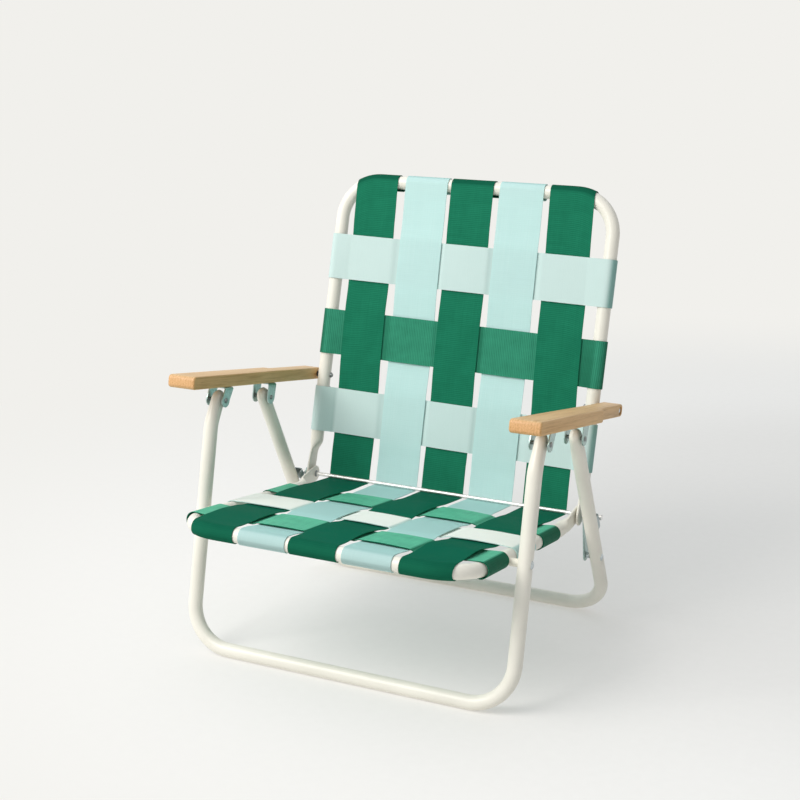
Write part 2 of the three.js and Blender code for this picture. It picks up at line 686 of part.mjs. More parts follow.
function clevis(pivot, middleX) {
  const plateTop = measure(pivot, armNose, armUp) - ARM_THICKNESS / 2 - RUNNING_CLEARANCE;
  const plateBottom = plateTop - CLEVIS_THICKNESS;
  const ear = new THREE.Shape();
  ear.moveTo(-CLEVIS_WIDTH / 2, plateTop);
  ear.lineTo(-CLEVIS_EAR_RADIUS, 0);
  ear.absarc(0, 0, CLEVIS_EAR_RADIUS, Math.PI, 2 * Math.PI);
  ear.lineTo(CLEVIS_WIDTH / 2, plateTop);
  const plate = new THREE.BoxGeometry(2 * clevisHalfOutside, CLEVIS_WIDTH, CLEVIS_THICKNESS);
  plate.translate(middleX, 0, (plateTop + plateBottom) / 2);
  const bracket = join(
    plate,
    sidePlate(ear, middleX - clevisHalfOutside, middleX - clevisHalfInside),
    sidePlate(ear, middleX + clevisHalfInside, middleX + clevisHalfOutside),
  );
  return cut(slopeWithArm(bracket, pivot), holeAcross(pivot));
}

function clevisRivet(pivot, middleX) {
  const inner = middleX - clevisHalfOutside - RUNNING_CLEARANCE;
  const outer = middleX + clevisHalfOutside + RUNNING_CLEARANCE;
  return crossTurned(
    [
      [0, inner - RIVET_HEAD_THICKNESS],
      [RIVET_HEAD_DIAMETER / 4, inner - RIVET_HEAD_THICKNESS],
      [RIVET_HEAD_DIAMETER / 2, inner - RIVET_HEAD_THICKNESS / 3],
      [RIVET_HEAD_DIAMETER / 2, inner],
      [PIN_RADIUS, inner],
      [PIN_RADIUS, outer],
      [RIVET_HEAD_DIAMETER / 2, outer],
      [RIVET_HEAD_DIAMETER / 2, outer + RIVET_HEAD_THICKNESS / 3],
      [RIVET_HEAD_DIAMETER / 4, outer + RIVET_HEAD_THICKNESS],
      [0, outer + RIVET_HEAD_THICKNESS],
    ],
    pivot,
  );
}

addPair("clevis_front", clevis(frontLegPivot, FRONT_LEG_HALF_WIDTH), finish.steel);
addPair("clevis_rear", clevis(rearLegPivot, REAR_LEG_HALF_WIDTH), finish.steel);
addPair("clevis_front_rivet", clevisRivet(frontLegPivot, FRONT_LEG_HALF_WIDTH), finish.steel);
addPair("clevis_rear_rivet", clevisRivet(rearLegPivot, REAR_LEG_HALF_WIDTH), finish.steel);

// Seat pivot: a bolt through the front leg into the rail, with a painted sleeve between them
const railOuterX = SEAT_HALF_WIDTH + TUBE_CORNER_RADIUS + RUNNING_CLEARANCE;
const frontLegInnerX = FRONT_LEG_HALF_WIDTH - TUBE_CORNER_RADIUS - RUNNING_CLEARANCE;
const frontLegHeadX = FRONT_LEG_HALF_WIDTH + TUBE_RADIUS - BOLT_RECESS + RUNNING_CLEARANCE;
addPair(
  "seat_sleeve",
  crossTurned(ringProfile(HOLE_DIAMETER, SLEEVE_DIAMETER, railOuterX, frontLegInnerX), SEAT_PIVOT),
  finish.paint,
);
addPair(
  "seat_bolt",
  boltAcross(SEAT_HALF_WIDTH + RUNNING_CLEARANCE, frontLegHeadX, SEAT_PIVOT),
  finish.steel,
);

// Link: a flat bar from the hinge rod down to the rear leg
const linkInnerX = backEndMiddleX + FLAT_THICKNESS / 2 + LINK_TO_BACK_GAP;
const linkOuterX = linkInnerX + LINK_THICKNESS;

function linkBar() {
  const length = Math.hypot(linkPivot[0] - HINGE[0], linkPivot[1] - HINGE[1]);
  const outline = new THREE.Shape();
  outline.absarc(0, 0, LINK_WIDTH / 2, Math.PI / 2, 1.5 * Math.PI);
  outline.absarc(length, 0, LINK_WIDTH / 2, -Math.PI / 2, Math.PI / 2);
  const bar = sidePlate(outline, linkInnerX, linkOuterX);
  bar.rotateX(Math.atan2(linkPivot[1] - HINGE[1], linkPivot[0] - HINGE[0]));
  bar.translate(0, HINGE[0], HINGE[1]);
  return cut(bar, holeAcross(HINGE), holeAcross(linkPivot));
}

addPair("link", linkBar(), finish.steel);

// The link bolt stops just short of the link, so that the linkage can be opened there
const rearLegInnerX = REAR_LEG_HALF_WIDTH - TUBE_CORNER_RADIUS - RUNNING_CLEARANCE;
const rearLegHeadX = REAR_LEG_HALF_WIDTH + TUBE_RADIUS - BOLT_RECESS + RUNNING_CLEARANCE;
addPair(
  "link_bolt",
  join(
    boltAcross(linkOuterX + LINK_BOLT_GAP, rearLegHeadX, linkPivot),
    crossBar(RIVET_HEAD_DIAMETER, linkOuterX + LINK_BOLT_GAP, rearLegInnerX, linkPivot),
  ),
  finish.steel,
);

// Catch: a steel channel on the back of each rear leg; the hinge rod rests on it when the chair is open
const catchReach = ROD_BEHIND_REAR_LEG - ROD_CAP_DIAMETER / 2 - CATCH_GAP;

function catchChannel() {
  const inside = CATCH_HALF_WIDTH - CATCH_THICKNESS;
  const tubeSurface = Math.sqrt(TUBE_CORNER_RADIUS ** 2 - inside ** 2) + RUNNING_CLEARANCE;
  const depth = catchReach - tubeSurface;
  const channel = new THREE.Shape();
  channel.moveTo(-CATCH_HALF_WIDTH, 0);
  channel.lineTo(-inside, 0);
  channel.lineTo(-inside, depth - CATCH_THICKNESS);
  channel.lineTo(inside, depth - CATCH_THICKNESS);
  channel.lineTo(inside, 0);
  channel.lineTo(CATCH_HALF_WIDTH, 0);
  channel.lineTo(CATCH_HALF_WIDTH, depth);
  channel.lineTo(-CATCH_HALF_WIDTH, depth);
  channel.closePath();
  const bar = new THREE.ExtrudeGeometry(channel, { depth: CATCH_HEIGHT, bevelEnabled: false });
  bar.translate(REAR_LEG_HALF_WIDTH, tubeSurface, -CATCH_HEIGHT / 2 - CATCH_BELOW_ROD);
  bar.rotateX(REAR_LEG_LEAN);
  return bar.translate(0, rearLegAtRod[0], rearLegAtRod[1]);
}

addPair("catch", catchChannel(), finish.steel);

// Webbing. A strap surface is laid out as rows of points with their facing, then given thickness.
function ribbon(rows) {
  const columns = rows[0].length;
  const layer = rows.length * columns;
  const positions = [];
  for (const lift of [STRAP_THICKNESS / 2, -STRAP_THICKNESS / 2]) {
    for (const row of rows) {
      for (const { point, facing } of row) {
        positions.push(...point.clone().addScaledVector(facing, lift).toArray());
      }
    }
  }
  const alongRow = rows[1][0].point.clone().sub(rows[0][0].point);
  const acrossRow = rows[0][1].point.clone().sub(rows[0][0].point);
  const facesOut = alongRow.cross(acrossRow).dot(rows[0][0].facing) > 0;
  const indices = [];
  const quad = (a, b, c, d) => {
    if (facesOut) indices.push(a, b, c, a, c, d);
    else indices.push(a, c, b, a, d, c);
  };
  const place = (i, j) => i * columns + j;
  for (let i = 0; i < rows.length - 1; i += 1) {
    for (let j = 0; j < columns - 1; j += 1) {
      const [a, b, c, d] = [place(i, j), place(i + 1, j), place(i + 1, j + 1), place(i, j + 1)];
      quad(a, b, c, d);
      quad(d + layer, c + layer, b + layer, a + layer);
    }
    const [first, last] = [0, columns - 1];
    quad(place(i, first) + layer, place(i + 1, first) + layer, place(i + 1, first), place(i, first));
    quad(place(i, last), place(i + 1, last), place(i + 1, last) + layer, place(i, last) + layer);
  }
  const end = rows.length - 1;
  for (let j = 0; j < columns - 1; j += 1) {
    quad(place(0, j), place(0, j + 1), place(0, j + 1) + layer, place(0, j) + layer);
    quad(place(end, j + 1), place(end, j), place(end, j) + layer, place(end, j + 1) + layer);
  }
  const geometry = new THREE.BufferGeometry();
  geometry.setAttribute("position", new THREE.Float32BufferAttribute(positions, 3));
  geometry.setIndex(indices);
  geometry.computeVertexNormals();
  return geometry;
}

// Facing of each point of a flat path, to the left of its run
function withFacing(path) {
  return path.map((here, i) => {
    const before = path[Math.max(i - 1, 0)];
    const after = path[Math.min(i + 1, path.length - 1)];
    const length = Math.hypot(after[0] - before[0], after[1] - before[1]);
    return { here, facing: [(before[1] - after[1]) / length, (after[0] - before[0]) / length] };
  });
}

// Lift along a strap that is held level across each crossing and eases between them
function weavePath(from, to, crossings) {
  const stops = [[from, 0]];
  crossings.forEach(({ centre, width, lift }, i) => {
    const hold = width / 2 + WEAVE_MARGIN;
    const previous = stops[stops.length - 1][0];
    const following = crossings[i + 1];
    const next = following ? following.centre - following.width / 2 - WEAVE_MARGIN : to;
    if (centre - hold - previous > 2 * WEAVE_EASE) stops.push([centre - hold - WEAVE_EASE, 0]);
    stops.push([centre - hold, lift], [centre + hold, lift]);
    if (next - centre - hold > 2 * WEAVE_EASE) stops.push([centre + hold + WEAVE_EASE, 0]);
  });
  stops.push([to, 0]);
  const path = [stops[0]];
  for (let i = 1; i < stops.length; i += 1) {
    const [[a, liftA], [b, liftB]] = [stops[i - 1], stops[i]];
    const steps = liftA === liftB ? 1 : 4;
    for (let k = 1; k <= steps; k += 1) {
      const share = k / steps;
      const ease = THREE.MathUtils.smoothstep(share, 0, 1);
      path.push([a + (b - a) * share, liftA + (liftB - liftA) * ease]);
    }
  }
  return path;
}

// The two woven panels. Run is measured from the hinge along the long straps, lift towards the sitter.
// overOdd is 1 where a cross strap passes over the odd-numbered long straps and -1 where it passes under.
const backStrapTilt = BACK_TILT - Math.asin((STRAP_ON_TUBE + STRAP_BEHIND_HINGE) / BACK_LENGTH);
const backMiddleCrossRun = BACK_BOTTOM_CROSS_RUN + BOTTOM_TO_MIDDLE_CROSS;
const backFace = [-Math.cos(backStrapTilt), Math.sin(backStrapTilt)];
const backPanel = wovenPanel({
  name: "back",
  run: directionUp(backStrapTilt),
  face: backFace,
  bar: backTop,
  halfWidth: BACK_HALF_WIDTH,
  tubeLiftAtHinge: STRAP_BEHIND_HINGE,
  pitch: BACK_STRAP_PITCH,
  skew: BACK_CROSS_SKEW,
  crossStraps: [
    { name: "bottom", run: BACK_BOTTOM_CROSS_RUN, overOdd: 1, colour: finish.mint },
    { name: "middle", run: backMiddleCrossRun, overOdd: -1, colour: finish.midGreen },
    { name: "top", run: backMiddleCrossRun + MIDDLE_TO_TOP_CROSS, overOdd: 1, colour: finish.mint },
  ],
});
const seatFrontCrossRun = (
  -measure(HINGE, SEAT_PIVOT, seatRearward)
  + SLEEVE_DIAMETER / 2
  + SLEEVE_TO_FRONT_CROSS_GAP
  + STRAP_WIDTH / 2
);
const seatCrossPitch = STRAP_WIDTH + SEAT_CROSS_SPACING;
const seatPanel = wovenPanel({
  name: "seat",
  run: [-seatRearward[0], -seatRearward[1]],
  face: seatUp,
  bar: SEAT_FRONT_BAR,
  halfWidth: SEAT_HALF_WIDTH,
  tubeLiftAtHinge: -STRAP_ON_TUBE,
  pitch: SEAT_STRAP_PITCH,
  skew: 0,
  crossStraps: [
    { name: "rear", run: seatFrontCrossRun - 2 * seatCrossPitch, overOdd: -1, colour: finish.midGreen },
    { name: "middle", run: seatFrontCrossRun - seatCrossPitch, overOdd: 1, colour: finish.pale },
    { name: "front", run: seatFrontCrossRun, overOdd: -1, colour: finish.midGreen },
  ],
});

function wovenPanel(panel) {
  const barRun = measure(HINGE, panel.bar, panel.run);
  const foot = along(along(panel.bar, panel.face, STRAP_ON_TUBE), panel.run, -barRun);
  return { ...panel, barRun, foot };
}

const STRAP_NUMBERS = [1, 2, 3, 4, 5];
const isOdd = (number) => number % 2 === 1;
const longStrapX = (panel, number) => (number - 3) * panel.pitch;
const longStrapWidth = (number) => (isOdd(number) ? DARK_STRAP_WIDTH : STRAP_WIDTH);
const crossLift = (strap, number) => strap.overOdd * (isOdd(number) ? 1 : -1) * WEAVE_LIFT;

// A point of a panel, and a facing given in the panel's own directions
const onPanel = (panel, x, run, lift) => (
  at(x, along(along(panel.foot, panel.run, run), panel.face, lift))
);
const facingOn = (panel, x, run, lift) => (
  at(x, along(along([0, 0], panel.run, run), panel.face, lift))
);

// Where a line beside a tube is, against the straight tube, at a distance into the tube's bend
const besideBend = (outward, into) => (
  Math.sqrt((FRAME_BEND_RADIUS + outward) ** 2 - Math.max(0, into) ** 2) - FRAME_BEND_RADIUS
);
const barRunAt = (panel, x, outward) => (
  panel.barRun + besideBend(outward, Math.abs(x) - panel.halfWidth + FRAME_BEND_RADIUS)
);
const tubeXAt = (panel, run, outward) => (
  panel.halfWidth + besideBend(outward, run - panel.barRun + FRAME_BEND_RADIUS)
);
const tubeLiftAt = (panel, run) => (
  THREE.MathUtils.lerp(panel.tubeLiftAtHinge, -STRAP_ON_TUBE, run / panel.barRun)
);

// Long straps: from the hinge along the panel, then round the far bar
function longStrap(panel, number) {
  const middleX = longStrapX(panel, number);
  const crossings = panel.crossStraps.map((strap) => ({
    centre: strap.run + panel.skew * middleX,
    width: STRAP_WIDTH,
    lift: -crossLift(strap, number),
  }));
  const overBend = number === 1 || number === STRAP_NUMBERS.length;
  const columns = overBend ? DRAPED_COLUMNS : 1;
  const outerEdge = Math.abs(middleX) + longStrapWidth(number) / 2;
  const wovenEnd = barRunAt(panel, outerEdge, 0) - WEAVE_MARGIN;
  const lines = [];
  for (let j = 0; j <= columns; j += 1) {
    const x = middleX + longStrapWidth(number) * (j / columns - 0.5);
    const path = weavePath(STRAP_END_GAP, wovenEnd, crossings);
    for (let k = 0; k <= WRAP_STEPS; k += 1) {
      const angle = STRAP_WRAP * k / WRAP_STEPS;
      path.push([
        barRunAt(panel, x, STRAP_ON_TUBE * Math.sin(angle)),
        STRAP_ON_TUBE * (Math.cos(angle) - 1),
      ]);
    }
    lines.push(withFacing(path).map(({ here, facing }) => ({
      point: onPanel(panel, x, here[0], here[1]),
      facing: facingOn(panel, 0, facing[0], facing[1]),
    })));
  }
  return ribbon(lines[0].map((_, i) => lines.map((line) => line[i])));
}

// Cross straps: from behind one side tube, over its face, through the weave and round the other tube
function crossStrap(panel, strap) {
  const crossings = STRAP_NUMBERS.map((number) => ({
    centre: longStrapX(panel, number),
    width: longStrapWidth(number),
    lift: crossLift(strap, number),
  }));
  const lastCrossing = crossings[crossings.length - 1];
  const outerEdge = lastCrossing.centre + lastCrossing.width / 2 + WEAVE_MARGIN;
  const woven = weavePath(-outerEdge, outerEdge, crossings).slice(1, -1);
  const nearBend = strap.run + STRAP_WIDTH / 2 > panel.barRun - FRAME_BEND_RADIUS;
  const columns = nearBend ? BENT_COLUMNS : 1;
  const lines = [];
  for (let j = 0; j <= columns; j += 1) {
    const edgeRun = (x) => strap.run + STRAP_WIDTH * (j / columns - 0.5) + panel.skew * x;
    const wrapOn = (side) => {
      const run = edgeRun(side * panel.halfWidth);
      const axisLift = tubeLiftAt(panel, run);
      const inward = tubeXAt(panel, run, 0) - outerEdge;
      const rise = lastCrossing.lift - axisLift;
      const leaves = Math.atan2(rise, inward) + Math.acos(STRAP_ON_TUBE / Math.hypot(rise, inward));
      const wrap = [];
      for (let k = 0; k <= WRAP_STEPS; k += 1) {
        const angle = leaves + CROSS_STRAP_WRAP * k / WRAP_STEPS;
        wrap.push([
          side * tubeXAt(panel, run, -STRAP_ON_TUBE * Math.cos(angle)),
          axisLift + STRAP_ON_TUBE * Math.sin(angle),
        ]);
      }
      return wrap;
    };
    const path = [...wrapOn(-1).reverse(), ...woven, ...wrapOn(1)];
    lines.push(withFacing(path).map(({ here, facing }) => ({
      point: onPanel(panel, here[0], edgeRun(here[0]), here[1]),
      facing: facingOn(panel, facing[0], 0, facing[1]),
    })));
  }
  return ribbon(lines[0].map((_, i) => lines.map((line) => line[i])));
}

for (const panel of [backPanel, seatPanel]) {
  for (const number of STRAP_NUMBERS) {
    const colour = isOdd(number) ? finish.darkGreen : finish.mint;
    addMesh(`${panel.name}_strap_${number}`, longStrap(panel, number), colour);
  }
  for (const strap of panel.crossStraps) {
    addMesh(`${panel.name}_cross_${strap.name}`, crossStrap(panel, strap), strap.colour);
  }
}

export default chair;
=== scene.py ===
"""A low folding lawn chair: webbing woven through cream tube frames, with wooden arms.

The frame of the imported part: Z up, the chair faces -Y, +X is the sitter's left hand.
Pieces are drawn in millimetres and brought to metres when they are stored.
"""

import json
import math

import bmesh
import bpy
from mathutils import Matrix, Vector


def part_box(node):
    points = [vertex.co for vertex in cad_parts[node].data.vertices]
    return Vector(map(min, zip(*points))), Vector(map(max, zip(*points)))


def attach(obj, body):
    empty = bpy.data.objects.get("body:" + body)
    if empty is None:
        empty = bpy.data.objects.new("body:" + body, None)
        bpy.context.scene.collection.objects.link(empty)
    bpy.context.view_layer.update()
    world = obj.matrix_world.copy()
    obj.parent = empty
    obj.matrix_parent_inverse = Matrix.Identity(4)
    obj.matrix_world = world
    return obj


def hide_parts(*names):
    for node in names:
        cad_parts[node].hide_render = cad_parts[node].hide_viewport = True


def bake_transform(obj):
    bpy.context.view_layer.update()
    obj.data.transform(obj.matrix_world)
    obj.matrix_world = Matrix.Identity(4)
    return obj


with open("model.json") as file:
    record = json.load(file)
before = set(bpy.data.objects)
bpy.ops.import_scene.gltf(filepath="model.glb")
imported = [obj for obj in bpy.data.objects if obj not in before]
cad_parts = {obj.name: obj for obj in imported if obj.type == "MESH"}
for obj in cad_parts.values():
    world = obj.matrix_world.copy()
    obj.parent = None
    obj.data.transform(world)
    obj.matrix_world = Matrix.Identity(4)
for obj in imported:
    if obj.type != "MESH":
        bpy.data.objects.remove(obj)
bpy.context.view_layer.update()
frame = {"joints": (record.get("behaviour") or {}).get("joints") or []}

MM = 0.001
SIDES = ((1, "left"), (-1, "right"))
pivot = {joint["name"]: Vector(joint["pos_m"]) / MM for joint in frame["joints"]}
HINGE = pivot["back_fold"]
SEAT_PIVOT = pivot["front_leg_swing"]
ARM_PIVOT = pivot["arm_swing"]
REAR_LEG_PIVOT = pivot["rear_leg_swing"]
FRONT_LEG_PIVOT = SEAT_PIVOT + ARM_PIVOT - HINGE

# Sizes of the tube frames
TUBE_RADIUS = 11.1
TUBE_SIDES = 40
FRONT_LEG_X = 268.0
REAR_LEG_X = 270.8
BACK_X = 242.5
SEAT_X = 233.0
FRAME_BEND = 66.0
KNEE_BEND = 55.0
SEAT_KINK_BEND = 60.0
SEAT_KINK_TO_HINGE = 61.0
SHIN_FORWARD = 3.0
FRONT_BAR = Vector((0, 0, TUBE_RADIUS))
REAR_BAR = Vector((0, 422.44, TUBE_RADIUS))
SEAT_BAR = Vector((0, -81, 238))
SEAT_SLOPE = math.radians(8.1)
BACK_TILT = math.radians(15.13)
BACK_LENGTH = 511.0
KNEE_LEAN = math.radians(32)
REAR_LEAN = math.radians(28.39)
FRONT_LEG_TIP = 15.4
REAR_LEG_TIP = 15.6

# Flattened ends and the seats of the bolt heads
EAR_X = 238.6
BACK_FLAT_X = 245.0
EAR_TIP = 14.0
EAR_FLAT = 42.0
NECK_HALF_WIDTH = 12.2
BACK_PLATE_SHIFT = Vector((0, -6, -2.5))
BACK_PLATE_REACH = 52.0
BOLT_DIMPLE = 3.0
DIMPLE_RADIUS = 8.0

# Sizes of the steel parts
BOLT_RADIUS = 3.0
BOLT_HEAD_RADIUS = 6.0
SHEET_STEEL = 1.6
ROD_RADIUS = 3.3
ROD_TO_LEG = 24.28
LINK_DROP = 70.5
LINK_HALF_WIDTH = 10.0

# Wooden arms: places across the chair, and lengths back from the nose
ARM_SLOPE = math.radians(10.37)
ARM_NOSE_INNER = 252.5
ARM_INNER = 257.0
TONGUE_OUTER = 289.0
ARM_OUTER = 299.5
ARM_LENGTH = 412.5
ARM_TAPER_END = 275.0
TONGUE_START = 283.5
TONGUE_CORNER = 6.0
ARM_UNDERSIDE = -10.6
ARM_THICKNESS = 20.1
NOSE_ROUND = 6.5
TAIL_ROUND = 7.0
ARM_EDGE_ROUND = 2.8
ARM_PIVOT_FROM_NOSE = 400.5
ARM_RAISE = 0.9
SCREW_HOLE = ((0, 282), (7, 282), (7, 296), (0, 296))

# Sizes of the webbing
STRAP_THICKNESS = 1.2
STRAP_ON_TUBE = 12.2
STRAP_TO_ROD = 4.83
DARK_WIDTH = 75.6
WIDTH = 76.6
WEAVE_LIFT = 1.4
STRAP_WRAP = math.radians(285)
STRAP_TILT = 0.2304


def yz(direction_y, direction_z):
    """A unit direction in the side view."""
    return Vector((0, direction_y, direction_z)).normalized()


SEAT_REAR = yz(math.cos(SEAT_SLOPE), -math.sin(SEAT_SLOPE))
SEAT_UP = yz(math.sin(SEAT_SLOPE), math.cos(SEAT_SLOPE))
BACK_UP = yz(math.sin(BACK_TILT), math.cos(BACK_TILT))
BACK_BAR = HINGE + BACK_UP * BACK_LENGTH
STRAP_UP = yz(math.sin(STRAP_TILT), math.cos(STRAP_TILT))
STRAP_FACE = yz(-math.cos(STRAP_TILT), math.sin(STRAP_TILT))
ARM_REAR = yz(math.cos(ARM_SLOPE), -math.sin(ARM_SLOPE))
ARM_UP = yz(math.sin(ARM_SLOPE), math.cos(ARM_SLOPE))
REAR_LEG_UP = yz(-math.sin(REAR_LEAN), math.cos(REAR_LEAN))
BEHIND_LEG = yz(math.cos(REAR_LEAN), math.sin(REAR_LEAN))
LEG_AT_ROD = HINGE - BEHIND_LEG * ROD_TO_LEG
LINK_PIVOT = LEG_AT_ROD + REAR_LEG_UP * ((HINGE.z - LINK_DROP - LEG_AT_ROD.z) / REAR_LEG_UP.z)


def ease(start, end, value):
    """Smooth step from 0 at start to 1 at end."""
    t = min(max((value - start) / (end - start), 0.0), 1.0)
    return t * t * (3 - 2 * t)


def beside(x, point):
    """A side-view point moved to a place across the chair."""
    return Vector((x, point.y, point.z))


def quarter_turn(steps):
    """Angles from 0 to a quarter turn."""
    return [math.pi / 2 * i / steps for i in range(steps + 1)]


# Materials


class NodeTree:
    """Adds nodes to one tree and joins them."""

    def __init__(self, tree):
        self.nodes = tree.nodes
        self.links = tree.links

    def add(self, kind, sources=None, **settings):
        node = self.nodes.new(kind)
        for key, value in settings.items():
            setattr(node, key, value)
        for socket, value in (sources or {}).items():
            self.feed(node.inputs[socket], value)
        return node

    def feed(self, socket, value):
        if isinstance(value, bpy.types.NodeSocket):
            self.links.new(value, socket)
        else:
            socket.default_value = value

    def math(self, operation, *values):
        return self.add("ShaderNodeMath", dict(enumerate(values)), operation=operation).outputs[0]

    def remap(self, value, start, end, low=0.0, high=1.0, kind="SMOOTHSTEP"):
        """Carries a value from the range start to end over to the range low to high."""
        sources = {"Value": value, "From Min": start, "From Max": end, "To Min": low, "To Max": high}
        return self.add("ShaderNodeMapRange", sources, interpolation_type=kind).outputs["Result"]

    def show_mix(self, output, share, first, second):
        """Sends a mix of two shader nodes to the output node."""
        sources = {0: share, 1: first.outputs[0], 2: second.outputs[0]}
        both = self.add("ShaderNodeMixShader", sources)
        self.links.new(both.outputs[0], self.nodes[output].inputs["Surface"])


class Shading(NodeTree):
    """Builds one material."""

    def __init__(self, name):
        self.material = bpy.data.materials.new(name)
        self.material.use_nodes = True
        super().__init__(self.material.node_tree)
        self.surface = self.nodes["Principled BSDF"]

    def coordinate(self, kind):
        return self.add("ShaderNodeTexCoord").outputs[kind]

    def stretched(self, vector, scale, turn=(0, 0, 0)):
        sources = {"Vector": vector, "Scale": scale, "Rotation": turn}
        return self.add("ShaderNodeMapping", sources).outputs["Vector"]

    def noise(self, vector, scale, detail=2.0, roughness=0.5):
        """Noise with one scale, or with a scale for each axis."""
        if isinstance(scale, tuple):
            vector = self.stretched(vector, scale)
            scale = 1.0
        sources = {"Vector": vector, "Scale": scale, "Detail": detail, "Roughness": roughness}
        return self.add("ShaderNodeTexNoise", sources).outputs["Fac"]

    def wave(self, value, period):
        return self.math("SINE", self.math("MULTIPLY", value, 2 * math.pi / period))

    def ramp(self, value, low, high, dark, light):
        node = self.add("ShaderNodeValToRGB", {"Fac": value})
        start, end = node.color_ramp.elements
        start.position = low
        end.position = high
        start.color = (*dark, 1)
        end.color = (*light, 1)
        return node.outputs["Color"]

    def mask(self, value, low, high, top=1.0):
        """A grey that rises from 0 at low to top at high."""
        return self.ramp(value, low, high, (0, 0, 0), (top, top, top))

    def mix(self, factor, first, second):
        """Mixes two colours; the colour sockets of the node are its inputs 6 and 7."""
        node = self.add("ShaderNodeMix", data_type="RGBA")
        self.feed(node.inputs[0], factor)
        for place, value in ((6, first), (7, second)):
            self.feed(node.inputs[place], (*value, 1) if isinstance(value, tuple) else value)
        return node.outputs[2]

    def tint(self, base, colour, share, amount):
        """Mixes a colour into a base by a share times an amount."""
        return self.mix(self.math("MULTIPLY", share, amount), base, colour)

    def facing(self, normal, direction, start, full, either_way=False):
        """How far a surface faces along a direction, from 0 at one cosine to 1 at another."""
        sources = {0: normal, 1: tuple(direction)}
        cosine = self.add("ShaderNodeVectorMath", sources, operation="DOT_PRODUCT").outputs["Value"]
        if either_way:
            cosine = self.math("ABSOLUTE", cosine)
        return self.remap(cosine, start, full)

    def bump(self, height, strength, distance, under=None):
        sources = {"Height": height, "Strength": strength, "Distance": distance}
        if under is not None:
            sources["Normal"] = under
        return self.add("ShaderNodeBump", sources).outputs["Normal"]

    def finish(self, **sockets):
        for name, value in sockets.items():
            self.feed(self.surface.inputs[name.replace("_", " ")], value)
        return self.material


def srgb(red, green, blue):
    """A colour given as 0-255 display values, as linear light."""
    def linear(value):
        v = value / 255
        return v / 12.92 if v <= 0.04045 else ((v + 0.055) / 1.055) ** 2.4
    return (linear(red), linear(green), linear(blue))


def darker(colour, share):
    return tuple(channel * share for channel in colour)


def cream_paint():
    shade = Shading("cream_paint")
    place = shade.coordinate("Object")
    clouds = shade.noise(place, 14.0, 3.0)
    tone = shade.ramp(clouds, 0.3, 0.7, srgb(227, 223, 211), srgb(236, 232, 220))
    scuffs = shade.mask(shade.noise(place, 260.0, 4.0, 0.7), 0.68, 0.8)
    tone = shade.tint(tone, srgb(206, 200, 183), scuffs, 0.12)
    peel = shade.bump(shade.noise(place, 900.0, 1.0), 0.06, 0.0004)
    rough = shade.remap(shade.noise(place, 40.0), 0.0, 1.0, 0.34, 0.46, "LINEAR")
    return shade.finish(
        Base_Color=tone, Roughness=rough, Normal=peel, Coat_Weight=0.15, Coat_Roughness=0.25
    )


# Threads of the webbing, and where painted sheen and shade fall. A facing is a direction, the
# cosines where its painted tone starts and is full, and whether an opposite face has it too.
RIB_PERIOD = 0.0019
WARP_PERIOD = 0.0031
WEFT_PERIOD = 0.0031
DEEP_SHARE = 0.72
TURN_SHADE_SHARE = 0.45
SEAT_SHEEN_SHADE_FACING = ((SEAT_UP - Vector((0.36, 0, 0))).normalized(), 0.72, 0.92)
DARK_SHEEN_SHADE_FACING = (SEAT_SHEEN_SHADE_FACING[0], 0.25, 0.8)
BACK_SHEEN_SHADE_FACING = ((STRAP_FACE - Vector((0.36, 0, 0))).normalized(), 0.3, 0.85, True)
MID_GREEN_SHEEN_SHADE_FACING = ((STRAP_FACE + Vector((0.5, 0, 0))).normalized(), 0.55, 1.0, True)
# Direction of strap faces that turn under the bars; these faces get painted shade.
TURNED_UNDER = yz(-0.93, -0.36)
# Metres along a long strap where the painted shade of a turn starts and is full: front bar, top bar
SHADED_TURNS = ((0.066, 0.054), (1.012, 1.021))


